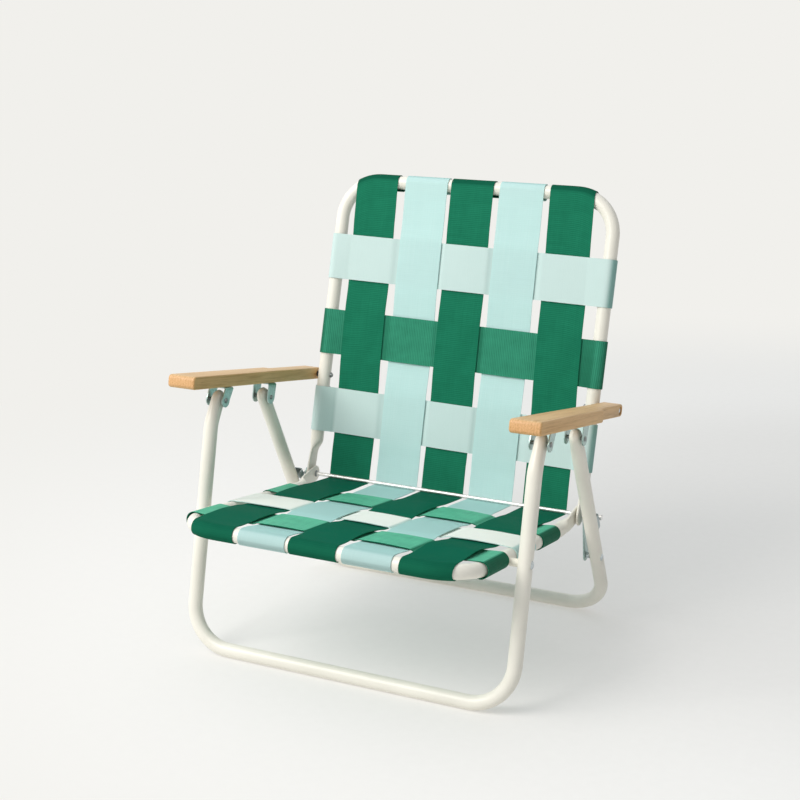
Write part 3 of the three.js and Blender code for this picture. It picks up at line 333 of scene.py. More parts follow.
def webbing(name, colour, shadow, sheen_shade_tone, sheen_shade_facing, glow, ribbing, weft_depth, ior=1.45, turn_shade=(0.0, 0.0)):
    """Ribbed woven strap: UV runs along and across the strap in metres.

    A strap that faces along its facing takes its sheen-and-shade tone: painted sheen where that tone
    is lighter than the strap's colour, painted shade where it is darker. A strap that turns under
    gets painted shade, and so do long straps round the front bar and the top bar, by the two turn
    shade shares. Glow is the share of light that passes through.
    """
    shade = Shading(name)
    uv = shade.add("ShaderNodeUVMap", uv_map="strap").outputs["UV"]
    split = shade.add("ShaderNodeSeparateXYZ", {"Vector": uv})
    along = split.outputs["X"]
    across = split.outputs["Y"]
    normal = shade.coordinate("Normal")
    deep = darker(shadow, DEEP_SHARE)
    turn_shade_tone = darker(shadow, TURN_SHADE_SHARE)
    streak = shade.noise(uv, (7.0, 620.0, 1.0), 4.0, 0.65)
    tone = shade.ramp(streak, 0.15, 0.85, shadow, colour)
    # Painted sheen and shade: faces along the facing direction take the sheen-and-shade tone.
    tone = shade.mix(shade.facing(normal, *sheen_shade_facing), tone, sheen_shade_tone)
    # Painted shade where a strap turns under.
    tone = shade.tint(tone, deep, shade.facing(normal, TURNED_UNDER, 0.9, 1.0), 0.75)
    # Painted shade where a long strap goes round the front bar and the top bar.
    for (start, full), share in zip(SHADED_TURNS, turn_shade):
        if share:
            tone = shade.mix(shade.remap(along, start, full, 0.0, share), tone, turn_shade_tone)
    crumple = shade.noise(uv, (16.0, 34.0, 1.0), 3.0, 0.6)
    tone = shade.tint(tone, deep, shade.mask(crumple, 0.42, 0.7, ribbing), 0.5)
    slub = shade.noise(uv, (300.0, 16.0, 1.0), 3.0, 0.6)
    tone = shade.tint(tone, deep, shade.mask(slub, 0.4, 0.75, ribbing), 0.6)
    weave = shade.math("MULTIPLY", shade.wave(along, RIB_PERIOD), shade.wave(across, WARP_PERIOD))
    ribs = shade.math("MULTIPLY_ADD", weave, 0.5, 0.5)
    tone = shade.tint(tone, shadow, ribs, 0.18)
    patches = shade.noise(uv, (60.0, 90.0, 1.0))
    weft = shade.math("MAXIMUM", shade.wave(along, WEFT_PERIOD), 0.0)
    tone = shade.tint(tone, deep, shade.math("MULTIPLY", weft, patches), weft_depth)
    woven = shade.bump(ribs, 0.35, 0.0005)
    woven = shade.bump(streak, 0.2, 0.0004, woven)
    shade.finish(Base_Color=tone, Roughness=0.5, Normal=woven, Specular_IOR_Level=0.06, IOR=ior)
    lit_through = shade.add("ShaderNodeBsdfTranslucent", {"Color": tone, "Normal": woven})
    shade.show_mix("Material Output", glow, shade.surface, lit_through)
    return shade.material


def oiled_wood():
    shade = Shading("oiled_wood")
    normal = shade.coordinate("Normal")
    level = shade.stretched(shade.coordinate("Object"), (1, 1, 1), (ARM_SLOPE, 0, 0))
    rings = shade.add(
        "ShaderNodeTexWave",
        {
            "Vector": shade.stretched(level, (1.0, 0.05, 0.7)),
            "Scale": 70.0,
            "Distortion": 7.0,
            "Detail": 2.0,
            "Detail Scale": 1.2,
        },
        bands_direction="X",
    ).outputs["Fac"]
    clouds = shade.noise(level, (18.0, 2.5, 18.0))
    streaks = shade.noise(level, (420.0, 12.0, 420.0), 3.0, 0.6)
    pores = shade.noise(level, (1500.0, 55.0, 1500.0), 2.0, 0.7)
    end_grain = shade.facing(normal, -ARM_REAR, 0.45, 0.9)
    # Painted light: faces turned up are lightened, standing in for the light falling on the top.
    lit_top = shade.facing(normal, ARM_UP, 0.5, 0.95)
    tone = shade.ramp(clouds, 0.3, 0.72, srgb(206, 161, 101), srgb(222, 184, 127))
    tone = shade.tint(tone, srgb(219, 168, 120), end_grain, 0.7)
    tone = shade.tint(tone, srgb(230, 204, 172), lit_top, 0.35)
    tone = shade.tint(tone, srgb(188, 140, 76), rings, 0.3)
    tone = shade.mix(shade.mask(streaks, 0.48, 0.7, 0.7), tone, srgb(172, 126, 62))
    tone = shade.tint(tone, srgb(146, 104, 48), shade.mask(pores, 0.56, 0.74), 0.35)
    return shade.finish(Base_Color=tone, Roughness=0.48, Normal=shade.bump(pores, 0.12, 0.0003))


def zinc_steel(name, colour, smoothest=0.24, roughest=0.42):
    shade = Shading(name)
    place = shade.coordinate("Object")
    spangle = shade.noise(place, 330.0, 3.0, 0.6)
    brushed = shade.noise(place, (2500.0, 300.0, 300.0))
    tone = shade.ramp(spangle, 0.35, 0.7, darker(colour, 0.72), colour)
    rough = shade.remap(brushed, 0.0, 1.0, smoothest, roughest, "LINEAR")
    normal = shade.bump(brushed, 0.08, 0.0002)
    return shade.finish(Base_Color=tone, Metallic=1.0, Roughness=rough, Normal=normal)


def moulded_plastic(name, colour, dull):
    shade = Shading(name)
    grain = shade.noise(shade.coordinate("Object"), 700.0)
    tone = shade.ramp(grain, 0.3, 0.7, dull, colour)
    return shade.finish(Base_Color=tone, Roughness=0.5, Normal=shade.bump(grain, 0.1, 0.0003))


PAINT = cream_paint()
WOOD = oiled_wood()
STEEL = zinc_steel("zinc_steel", (0.62, 0.68, 0.70))
ROD_STEEL = zinc_steel("bright_rod_steel", (0.93, 0.93, 0.92), 0.42, 0.6)
DARK_STEEL = zinc_steel("dark_steel", (0.30, 0.32, 0.32))
CATCH_STEEL = zinc_steel("catch_steel", (0.46, 0.53, 0.54))
BLUED_STEEL = zinc_steel("blued_steel", (0.47, 0.61, 0.58))
BLACK = moulded_plastic("black_washer", srgb(52, 52, 50), srgb(38, 38, 37))
SLEEVE = moulded_plastic("cream_sleeve", srgb(236, 232, 218), srgb(226, 221, 205))
# Painted shade: the sheen-and-shade tone darkens faces turned up on the seat and the top bar, and the
# turns round both bars.
DARK_WEB = webbing(
    "dark_green_webbing", srgb(39, 131, 99), srgb(28, 115, 86), srgb(13, 94, 73), DARK_SHEEN_SHADE_FACING,
    glow=0.04, ribbing=0.6, weft_depth=1.3, ior=1.12, turn_shade=(0.74, 1.0),
)
# Painted shade: the sheen-and-shade tone darkens the faces turned up on the seat, and the turn round
# the front bar.
MINT_WEB = webbing(
    "mint_webbing", srgb(211, 239, 236), srgb(198, 232, 228), srgb(177, 220, 215), SEAT_SHEEN_SHADE_FACING,
    glow=0.2, ribbing=0.12, weft_depth=0.12, turn_shade=(0.26, 0.0),
)
# Painted shade: the band's own colours are a shaded mint, and only faces turned to the front of the
# back panel take the lighter tone, so the wraps round the tubes stay dark.
MINT_BAND_WEB = webbing(
    "mint_band_webbing", srgb(148, 190, 182), srgb(140, 182, 174), srgb(211, 231, 227), BACK_SHEEN_SHADE_FACING,
    glow=0.1, ribbing=0.04, weft_depth=0.04,
)
# Painted sheen: faces turned to the front and the chair's left take the lighter tone; the wraps
# turned to the right keep the darker colour as painted shade.
MID_WEB = webbing(
    "mid_green_webbing", srgb(36, 116, 88), srgb(30, 104, 78), srgb(63, 158, 126), MID_GREEN_SHEEN_SHADE_FACING,
    glow=0.06, ribbing=0.35, weft_depth=1.0,
)
# Painted sheen: the flat seat top takes a much lighter green than the strap's own dark green, which
# shows on the wraps round the tubes.
SEAT_GREEN_WEB = webbing(
    "seat_green_webbing", srgb(20, 110, 82), srgb(10, 92, 66), srgb(105, 205, 168), SEAT_SHEEN_SHADE_FACING,
    glow=0.06, ribbing=0.3, weft_depth=0.5,
)
# Painted sheen: faces turned up on the seat take a near-white tone, brighter than the band's own
# colour.
PALE_WEB = webbing(
    "pale_webbing", srgb(200, 230, 224), srgb(186, 220, 212), srgb(253, 255, 246), SEAT_SHEEN_SHADE_FACING,
    glow=0.1, ribbing=0.05, weft_depth=0.05,
)


# Shared builders


def new_object(name, data):
    made = bpy.data.objects.new(name, data)
    bpy.context.scene.collection.objects.link(made)
    return made


def drawn_object(name, bm):
    """Makes an object from a drawing and frees the drawing."""
    mesh = bpy.data.meshes.new(name)
    bm.to_mesh(mesh)
    bm.free()
    return new_object(name, mesh)


def store(name, bm, material, body, nodes, slot_name, sharp=35.0):
    """Turns a drawn piece into an object that moves with a body and stands for CAD nodes."""
    bmesh.ops.remove_doubles(bm, verts=bm.verts, dist=0.002)
    bmesh.ops.recalc_face_normals(bm, faces=bm.faces)
    bmesh.ops.scale(bm, vec=(MM, MM, MM), verts=bm.verts)
    for face in bm.faces:
        face.smooth = True
    for edge in bm.edges:
        if len(edge.link_faces) != 2 or edge.calc_face_angle(0.0) > math.radians(sharp):
            edge.smooth = False
    piece = drawn_object(name, bm)
    piece.data.materials.append(material)
    if body:
        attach(piece, body)
    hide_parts(*nodes)
    return piece


def thicken(piece, thickness):
    """Gives a sheet its thickness, half on each side."""
    layer = piece.modifiers.new("thickness", "SOLIDIFY")
    layer.thickness = thickness * MM
    layer.offset = 0.0
    layer.use_even_offset = True


def new_verts(made):
    return [item for item in made if isinstance(item, bmesh.types.BMVert)]


def new_ring(made):
    """The edges among made items whose ends are both among them."""
    verts = set(new_verts(made))
    return [
        item for item in made
        if isinstance(item, bmesh.types.BMEdge) and set(item.verts) <= verts
    ]


def ring_step(bm, ring, vector):
    """Extrudes a ring of edges along a vector and gives back the new ring."""
    made = bmesh.ops.extrude_edge_only(bm, edges=ring)["geom"]
    bmesh.ops.translate(bm, vec=vector, verts=new_verts(made))
    return new_ring(made)


def ring_turn(bm, ring, centre, axis, angle):
    """Spins a ring of edges round a bend, about 4 degrees a step, and gives back the last ring."""
    steps = max(4, round(math.degrees(angle) / 4))
    corners = list({vert for edge in ring for vert in edge.verts})
    made = bmesh.ops.spin(bm, geom=corners + ring, cent=centre, axis=axis, angle=angle, steps=steps)
    return new_ring(made["geom_last"])


def bent_tube(points, bends, spacing):
    """A round tube through the points; spacing is the ring distance of each straight."""
    bm = bmesh.new()
    heading = (points[1] - points[0]).normalized()
    turn = heading.to_track_quat("Z", "Y").to_matrix().to_4x4()
    place = Matrix.Translation(points[0]) @ turn
    bmesh.ops.create_circle(bm, cap_ends=True, radius=TUBE_RADIUS, segments=TUBE_SIDES, matrix=place)
    ring = bm.edges[:]
    here = points[0]
    for i in range(1, len(points)):
        heading = (points[i] - points[i - 1]).normalized()
        reach = 0.0
        if i < len(points) - 1:
            leaving = (points[i + 1] - points[i]).normalized()
            angle = heading.angle(leaving)
            reach = bends[i - 1] * math.tan(angle / 2)
        run = (points[i] - heading * reach) - here
        steps = max(1, round(run.length / spacing[i - 1]))
        for _ in range(steps):
            ring = ring_step(bm, ring, run / steps)
        if reach:
            inward = (leaving - heading * heading.dot(leaving)).normalized()
            centre = points[i] - heading * reach + inward * bends[i - 1]
            ring = ring_turn(bm, ring, centre, heading.cross(leaving).normalized(), angle)
            here = points[i] + leaving * reach
    bmesh.ops.edgeloop_fill(bm, edges=ring)
    return bm


def squeeze_ends(bm, tube_x, flat_x, axis, plate, half_width, half_thickness, length, run_out, tip):
    """Presses both tube ends flat: axis and plate are the tube's and the plate's (centre, direction).

    The flat is full up to length from the centre, and the tube is round again after run_out more.
    """
    centre, direction = axis
    plate_centre, plate_way = plate
    across = Vector((0, -direction.z, direction.y))
    plate_across = Vector((0, -plate_way.z, plate_way.y))
    for vert in bm.verts:
        side = math.copysign(1, vert.co.x)
        offset = vert.co - centre
        reach = offset.dot(direction)
        amount = 1 - ease(length, length + run_out, reach)
        if amount <= 0:
            continue
        share = offset.dot(across) / TUBE_RADIUS
        from_tip = half_width - abs(share) * half_width
        new_reach = reach
        half = half_width - (half_width - NECK_HALF_WIDTH) * min(max(reach / length, 0.0), 1.0)
        if reach < 0:
            turn = math.pi / 2 * min(-reach / tip, 1.0)
            new_reach = -tip * math.sin(turn)
            half = half_width * math.cos(turn) ** (half_width / tip)
            from_tip = half_width - math.hypot(new_reach * half_width / tip, share * half)
        inset = max(0.0, half_thickness - max(from_tip, 0.0))
        lift = math.sqrt(max(0.0, half_thickness ** 2 - inset ** 2))
        flat = plate_centre + plate_way * new_reach + plate_across * (share * half)
        flat.x = side * flat_x + math.copysign(lift, vert.co.x - side * tube_x)
        vert.co = vert.co.lerp(flat, amount)


def dimples(bm, tube_x, centre):
    """Presses a small flat into the outer face of each leg, for a bolt head to sit in."""
    for vert in bm.verts:
        distance = math.hypot(vert.co.y - centre.y, vert.co.z - centre.z)
        rise = ease(DIMPLE_RADIUS * 0.6, DIMPLE_RADIUS * 1.5, distance)
        outermost = tube_x + TUBE_RADIUS - BOLT_DIMPLE + (BOLT_DIMPLE + 1) * rise
        if abs(vert.co.x) > outermost:
            vert.co.x = math.copysign(outermost, vert.co.x)


def turned(side, profile, centre, steps=32):
    """A solid turned about an axis across the chair, from (radius, x) pairs of the left side."""
    bm = bmesh.new()
    verts = [bm.verts.new((side * x, centre.y + radius, centre.z)) for radius, x in profile]
    edges = [bm.edges.new(pair) for pair in zip(verts, verts[1:])]
    bmesh.ops.spin(
        bm, geom=verts + edges, cent=centre, axis=(1, 0, 0), angle=2 * math.pi, steps=steps,
        use_merge=True,
    )
    return bm


def dome(radius, height, base_x, outward):
    """Profile of a domed head that stands on base_x and faces outward (+1 or -1)."""
    return [
        (radius * math.cos(angle), base_x + outward * height * math.sin(angle))
        for angle in quarter_turn(6)
    ]


def bolt_head(face):
    """Profile of a low bolt head that stands on a face."""
    return [(BOLT_HEAD_RADIUS, face)] + dome(BOLT_HEAD_RADIUS, 2.6, face + 0.6, 1)


def slab(outline, thickness):
    """A flat slab from its outline and the vector of its thickness."""
    bm = bmesh.new()
    base = bm.faces.new([bm.verts.new(point) for point in outline])
    made = bmesh.ops.extrude_face_region(bm, geom=[base])["geom"]
    bmesh.ops.translate(bm, vec=thickness, verts=new_verts(made))
    return bm


def round_edges(bm, edges, radius, segments, **settings):
    bmesh.ops.bevel(
        bm, geom=edges, offset=radius, offset_type="OFFSET", segments=segments,
        profile=0.5, affect="EDGES", material=-1, **settings,
    )


def sharp_edges(bm, degrees):
    return [edge for edge in bm.edges if edge.calc_face_angle(0.0) > math.radians(degrees)]


def grid_sheet(rows, columns, place):
    """A sheet of quads whose points are set by place(row, column), and the row and column of each."""
    bm = bmesh.new()
    bmesh.ops.create_grid(bm, x_segments=rows, y_segments=columns, size=1.0)
    index = {}
    for vert in bm.verts:
        index[vert] = (round((vert.co.x + 1) / 2 * rows), round((vert.co.y + 1) / 2 * columns))
        vert.co = place(*index[vert])
    return bm, index


# Tube frames


def crossing(a, a_way, b, b_way):
    """Where two side-view lines meet."""
    gap = b - a
    t = (gap.y * b_way.z - gap.z * b_way.y) / (a_way.y * b_way.z - a_way.z * b_way.y)
    return a + a_way * t


def hoop(x, side_points):
    """Side-view points at x, mirrored into a loop from the left end to the right end."""
    return [beside(x, point) for point in side_points] + [
        beside(-x, point) for point in reversed(side_points)
    ]


def front_legs():
    top_way = yz(math.sin(KNEE_LEAN), math.cos(KNEE_LEAN))
    shin = SEAT_PIVOT - Vector((0, SHIN_FORWARD, 0))
    knee = crossing(FRONT_LEG_PIVOT, top_way, FRONT_BAR, shin - FRONT_BAR)
    top = FRONT_LEG_PIVOT + top_way * FRONT_LEG_TIP
    points = hoop(FRONT_LEG_X, [top, knee, FRONT_BAR])
    bm = bent_tube(points, [KNEE_BEND, FRAME_BEND, FRAME_BEND, KNEE_BEND], [2, 3, 40, 3, 2])
    axis = (FRONT_LEG_PIVOT, -top_way)
    squeeze_ends(
        bm, FRONT_LEG_X, FRONT_LEG_X, axis, axis,
        half_width=12.2, half_thickness=9, length=10, run_out=36, tip=FRONT_LEG_TIP,
    )
    dimples(bm, FRONT_LEG_X, SEAT_PIVOT)
    store("front_leg_tube", bm, PAINT, "front_legs", ["front_leg_frame"], "cream_tube")


def rear_legs():
    top = REAR_LEG_PIVOT + REAR_LEG_UP * REAR_LEG_TIP
    points = hoop(REAR_LEG_X, [top, REAR_BAR])
    bm = bent_tube(points, [FRAME_BEND, FRAME_BEND], [2.5, 40, 2.5])
    axis = (REAR_LEG_PIVOT, -REAR_LEG_UP)
    squeeze_ends(
        bm, REAR_LEG_X, REAR_LEG_X, axis, axis,
        half_width=12.8, half_thickness=8.5, length=6, run_out=24, tip=REAR_LEG_TIP,
    )
    dimples(bm, REAR_LEG_X, LINK_PIVOT)
    store("rear_leg_tube", bm, PAINT, "rear_legs", ["rear_leg_frame"], "cream_tube")


def back_hoop():
    tip = HINGE - BACK_UP * EAR_TIP
    points = hoop(BACK_X, [tip, BACK_BAR])
    bm = bent_tube(points, [FRAME_BEND, FRAME_BEND], [2, 40, 2])
    plate_centre = HINGE + BACK_PLATE_SHIFT
    plate_way = (HINGE + BACK_UP * BACK_PLATE_REACH - plate_centre).normalized()
    squeeze_ends(
        bm, BACK_X, BACK_FLAT_X, (HINGE, BACK_UP), (plate_centre, plate_way),
        half_width=14, half_thickness=2, length=EAR_FLAT, run_out=16, tip=EAR_TIP,
    )
    store("back_tube", bm, PAINT, "back", ["back_frame"], "cream_tube")


def seat_hoop():
    kink_reach = (HINGE.y - SEAT_KINK_TO_HINGE - SEAT_BAR.y) / SEAT_REAR.y
    kink = SEAT_BAR + SEAT_REAR * kink_reach
    forward = (kink - HINGE).normalized()
    tip = HINGE - forward * EAR_TIP
    points = hoop(SEAT_X, [tip, kink, SEAT_BAR])
    bends = [SEAT_KINK_BEND, FRAME_BEND, FRAME_BEND, SEAT_KINK_BEND]
    bm = bent_tube(points, bends, [2, 12, 40, 12, 2])
    axis = (HINGE, forward)
    squeeze_ends(
        bm, SEAT_X, EAR_X, axis, axis,
        half_width=14, half_thickness=2, length=EAR_FLAT, run_out=11, tip=EAR_TIP,
    )
    store("seat_tube", bm, PAINT, "seat", ["seat_frame"], "cream_tube")


# Hardware, drawn for one side (+1 left, -1 right)


def hinge_rod():
    cap = 4.4
    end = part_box("rod_cap_left")[1].x / MM - 1.5
    half = [(ROD_RADIUS, end - 3.2), (cap, end - 3), (cap, end - 0.4), (0, end)]
    profile = [(radius, -x) for radius, x in reversed(half)] + half
    nodes = ["hinge_rod", "rod_cap_left", "rod_cap_right"]
    store("rod", turned(1, profile, HINGE, 28), ROD_STEEL, "seat", nodes, "zinc_steel")
    inner = EAR_X - 2.4
    ring = [(ROD_RADIUS, inner), (5.6, inner), (5.6, inner - 0.7)]
    ring += [(4.2, inner - 2), (ROD_RADIUS, inner - 2)]
    for side, word in SIDES:
        bm = turned(side, ring, HINGE, 28)
        store("push_nut_" + word, bm, DARK_STEEL, "seat", [], "zinc_steel")


def drill_out(piece, hole):
    """Cuts a drawn hole out of a stored piece."""
    bmesh.ops.recalc_face_normals(hole, faces=hole.faces)
    bmesh.ops.scale(hole, vec=(MM, MM, MM), verts=hole.verts)
    drill = drawn_object("drill", hole)
    bore = piece.modifiers.new("bore", "BOOLEAN")
    bore.object = drill
    bore.operation = "DIFFERENCE"
    bore.solver = "EXACT"
    bpy.context.view_layer.update()
    ready = piece.evaluated_get(bpy.context.evaluated_depsgraph_get())
    bored = bpy.data.meshes.new_from_object(ready)
    piece.modifiers.remove(bore)
    piece.data = bored
    bpy.data.objects.remove(drill)


def arm(side, word):
    plan = [
        (ARM_NOSE_INNER, 0),
        (ARM_INNER, ARM_TAPER_END),
        (ARM_INNER, ARM_LENGTH),
        (TONGUE_OUTER, ARM_LENGTH),
        (TONGUE_OUTER, TONGUE_START),
    ]
    for angle in reversed(quarter_turn(6)):
        x = ARM_OUTER - TONGUE_CORNER + TONGUE_CORNER * math.cos(angle)
        plan.append((x, TONGUE_START - TONGUE_CORNER + TONGUE_CORNER * math.sin(angle)))
    plan.append((ARM_OUTER, 0))
    bm = slab([(side * x, y, ARM_UNDERSIDE) for x, y in plan], (0, 0, ARM_THICKNESS))
    bmesh.ops.recalc_face_normals(bm, faces=bm.faces)
    for end, radius in ((0, NOSE_ROUND), (ARM_LENGTH, TAIL_ROUND)):
        level_edges = [
            edge for edge in bm.edges
            if all(abs(vert.co.y - end) < 0.01 for vert in edge.verts)
            and abs(edge.verts[0].co.z - edge.verts[1].co.z) < 0.01
        ]
        round_edges(bm, level_edges, radius, 8)
    round_edges(bm, sharp_edges(bm, 40), ARM_EDGE_ROUND, 4, clamp_overlap=True)
    nose = ARM_PIVOT + ARM_UP * ARM_RAISE - ARM_REAR * ARM_PIVOT_FROM_NOSE
    slope = Matrix.Rotation(-ARM_SLOPE, 3, "X")
    bmesh.ops.rotate(bm, cent=(0, 0, 0), matrix=slope, verts=bm.verts)
    bmesh.ops.translate(bm, vec=nose, verts=bm.verts)
    piece = store("arm_board_" + word, bm, WOOD, "arms", ["arm_" + word], "wood_arm")
    drill_out(piece, turned(side, SCREW_HOLE, ARM_PIVOT))


def arm_fastening(side, word):
    bolt = [(0, 229), (BOLT_RADIUS, 229), (BOLT_RADIUS, 283)] + dome(BOLT_HEAD_RADIUS, 4, 284.4, 1)
    bm = turned(side, bolt, ARM_PIVOT)
    store("arm_screw_" + word, bm, STEEL, "arms", ["arm_bolt_" + word], "zinc_steel")
    low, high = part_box("arm_washer_" + word)
    inner, outer = sorted((abs(low.x) / MM, abs(high.x) / MM))
    ring = [(3.2, inner), (4.7, inner), (5.3, inner + 0.6), (5.3, outer - 0.6), (4.7, outer)]
    ring += [(3.2, outer), (3.2, inner)]
    bm = turned(side, ring, ARM_PIVOT)
    store("arm_spacer_" + word, bm, BLACK, "arms", ["arm_washer_" + word], "black_washer")
    base = BACK_X - TUBE_RADIUS - 0.3
    cap = [(BOLT_RADIUS, base), (4.6, base), (4.6, base - 0.6), (3.8, base - 0.8), (3.8, base - 1.8)]
    cap += dome(3.3, 2, base - 2, -1)
    bm = turned(side, cap, ARM_PIVOT, 24)
    store("arm_acorn_" + word, bm, DARK_STEEL, "arms", ["arm_cap_nut_" + word], "zinc_steel")


def clevis(side, word, where, centre, leg_x, plate_top, lean):
    """A folded bracket under the arm: two round-ended ears, leaning back to a joining plate."""
    half = 14.07
    fold = 2.6
    ear_reach = 11
    plate_reach = 12
    half_columns = 4
    top = plate_top - SHEET_STEEL / 2
    ear = [(-half, -ear_reach * math.cos(a), ear_reach * math.sin(a)) for a in quarter_turn(6)]
    ear += [(-half, n, ear_reach + n / plate_top) for n in (top * 0.45, top - fold)]
    for angle in quarter_turn(4)[1:]:
        n = top - fold + fold * math.sin(angle)
        ear.append((-half + fold - fold * math.cos(angle), n, plate_reach))
    profile = ear + [(-x, n, reach) for x, n, reach in reversed(ear)]

    def place(i, j):
        x, n, reach = profile[i]
        shift = lean * max(n, 0.0) / plate_top
        point = centre + ARM_UP * n + ARM_REAR * (reach * (j / half_columns - 1) + shift)
        return beside(side * (leg_x + x), point)

    bm, _ = grid_sheet(len(profile) - 1, 2 * half_columns, place)
    name = f"bracket_{where}_{word}"
    nodes = [f"clevis_{where}_{word}"]
    thicken(store(name, bm, BLUED_STEEL, "arms", nodes, "zinc_steel", 60), SHEET_STEEL)
    inner = leg_x - half - 1.1
    outer = leg_x + half + 1.1
    pin = dome(4, 1.6, inner, -1)[::-1] + [(3, inner), (3, outer)] + dome(4, 1.6, outer, 1)
    name = f"rivet_{where}_{word}"
    nodes = [f"clevis_{where}_rivet_{word}"]
    store(name, turned(side, pin, centre, 28), DARK_STEEL, "arms", nodes, "zinc_steel")


def seat_pivot(side, word):
    inner = SEAT_X + TUBE_RADIUS - 0.6
    outer = FRONT_LEG_X - TUBE_RADIUS + 0.6
    sleeve = [(3.1, inner), (6, inner), (6, outer), (3.1, outer), (3.1, inner)]
    bm = turned(side, sleeve, SEAT_PIVOT)
    store("pivot_sleeve_" + word, bm, SLEEVE, "seat", ["seat_sleeve_" + word], "cream_plastic")
    face = FRONT_LEG_X + TUBE_RADIUS - BOLT_DIMPLE
    bolt = [(0, SEAT_X), (BOLT_RADIUS, SEAT_X), (BOLT_RADIUS, face)] + bolt_head(face)
    bm = turned(side, bolt, SEAT_PIVOT)
    store("pivot_bolt_" + word, bm, STEEL, "seat", ["seat_bolt_" + word], "zinc_steel")


def link(side, word):
    low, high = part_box("link_" + word)
    inner, outer = sorted((abs(low.x) / MM, abs(high.x) / MM))
    way = (LINK_PIVOT - HINGE).normalized()
    across = Vector((0, -way.z, way.y))
    outline = []
    for centre, start in ((HINGE, math.pi / 2), (LINK_PIVOT, -math.pi / 2)):
        for i in range(13):
            angle = start + math.pi * i / 12
            spoke = way * math.cos(angle) + across * math.sin(angle)
            outline.append(beside(side * inner, centre + spoke * LINK_HALF_WIDTH))
    bm = slab(outline, (side * (outer - inner), 0, 0))
    round_edges(bm, sharp_edges(bm, 60), 0.5, 2)
    store("link_bar_" + word, bm, BLUED_STEEL, "links", ["link_" + word], "zinc_steel")
    start = outer + 0.5
    shoulder = REAR_LEG_X - TUBE_RADIUS
    face = REAR_LEG_X + TUBE_RADIUS - BOLT_DIMPLE
    bolt = [(0, start), (5, start), (5, shoulder), (BOLT_RADIUS, shoulder), (BOLT_RADIUS, face)]
    bm = turned(side, bolt + bolt_head(face), LINK_PIVOT)
    store("leg_bolt_" + word, bm, STEEL, "rear_legs", ["link_bolt_" + word], "zinc_steel")


def rod_catch(side, word):
    """A steel channel on the back of the rear leg that the rod rests against."""
    near = 5.6
    far = ROD_TO_LEG - 5 - SHEET_STEEL / 2
    fold = 2.4
    inner_half = 7.5
    outer_half = 13.5
    height = 25
    raised = 1.5
    columns = 4

    def flange(half):
        arc = [
            (half - fold + fold * math.cos(angle), far - fold + fold * math.sin(angle))
            for angle in quarter_turn(4)
        ]
        return [(half, near), (half, (near + far) / 2)] + arc

    profile = flange(inner_half) + [(-x, depth) for x, depth in reversed(flange(outer_half))]

    def place(i, j):
        x, depth = profile[i]
        up = height * (j / columns - 0.5) + raised
        return beside(side * (REAR_LEG_X + x), LEG_AT_ROD + BEHIND_LEG * depth + REAR_LEG_UP * up)

    bm, _ = grid_sheet(len(profile) - 1, columns, place)
    nodes = ["catch_" + word]
    piece = store("rod_catch_" + word, bm, CATCH_STEEL, "rear_legs", nodes, "zinc_steel", 60)
    thicken(piece, SHEET_STEEL)


# Webbing

# Where each cross strap lies, measured from the hinge, and whether odd long straps go over it
BACK_RUNS = {"bottom": 110.5, "middle": 244.5, "top": 374.6}
SEAT_RUNS = {"rear": 133.0, "middle": 243.0, "front": 353.0}
ODD_OVER_BACK = {"bottom": -1, "middle": 1, "top": -1}
ODD_OVER_SEAT = {"rear": 1, "middle": -1, "front": 1}
# Middle of each long strap across the chair at the front bar, the hinge and the top bar
LONG_STRAPS = {
    1: (-168.8, -174.0, -179.0),
    2: (-83.7, -85.0, -87.0),
    3: (-2.0, 0.0, -4.6),
    4: (83.7, 86.4, 83.2),
    5: (170.0, 182.0, 168.0),
}
SEAT_ENDS = slice(0, 2)
BACK_ENDS = slice(1, 3)
SEAT_RUN = 435
BACK_RUN = 505
BACK_CROSS_SKEW = -0.0146
# Slack: the sag of a panel, and the swells where a strap passes over another
PANEL_SAG = 0.9
SEAT_SWELL = 0.8
FRONT_SWELL = {1: 1.6, 3: 2.2, 5: 4.0}
LONG_SWELL_REACH = 52
BACK_BAND_SWELL = 0.5
SEAT_BAND_SWELL = 0.8
BAND_SWELL_REACH = 46
# How far each tail behind the top bar stands off the bar and has slipped sideways
TAIL_SLACK = 2.4
TAIL_SLIP = {1: 7.0, 3: 7.5, 5: 5.0}
# Rows of points along the straps, and columns across them
WRAP_STEPS = 36
SEAT_STEPS = 110
CORNER_STEPS = 12
BACK_STEPS = 120
CORNER_ROW = WRAP_STEPS + 1 + SEAT_STEPS + CORNER_STEPS // 2
BAND_WRAP_STEPS = 30
BAND_FREE_STEPS = 8
BAND_STEPS = 140
STRAP_COLUMNS = 10
# The strap's turn round the rod, between the seat and the back
CORNER = crossing(
    SEAT_BAR + SEAT_UP * STRAP_ON_TUBE, SEAT_REAR, HINGE - STRAP_FACE * STRAP_TO_ROD, STRAP_UP
)
CORNER_ANGLE = SEAT_REAR.angle(STRAP_UP)
CORNER_RADIUS = 5.0
CORNER_REACH = CORNER_RADIUS * math.tan(CORNER_ANGLE / 2)


def parity(number):
    """1 for the odd long straps, which are dark, and -1 for the even ones, which are mint."""
    return 1 if number % 2 else -1


def long_width(number):
    return DARK_WIDTH if number % 2 else WIDTH


def held_lift(run, crossings):
    """Lift along a strap: held level at each crossing (middle, width, lift), eased between them."""
    run_out = 29
    stops = []
    for centre, width, lift in crossings:
        stops += [(centre - width / 2 - 1, lift), (centre + width / 2 + 1, lift)]
    stops = [(stops[0][0] - run_out, 0.0)] + stops + [(stops[-1][0] + run_out, 0.0)]
    if run <= stops[0][0]:
        return 0.0
    for (a, low), (b, high) in zip(stops, stops[1:]):
        if run <= b:
            return low + (high - low) * ease(a, b, run)
    return 0.0


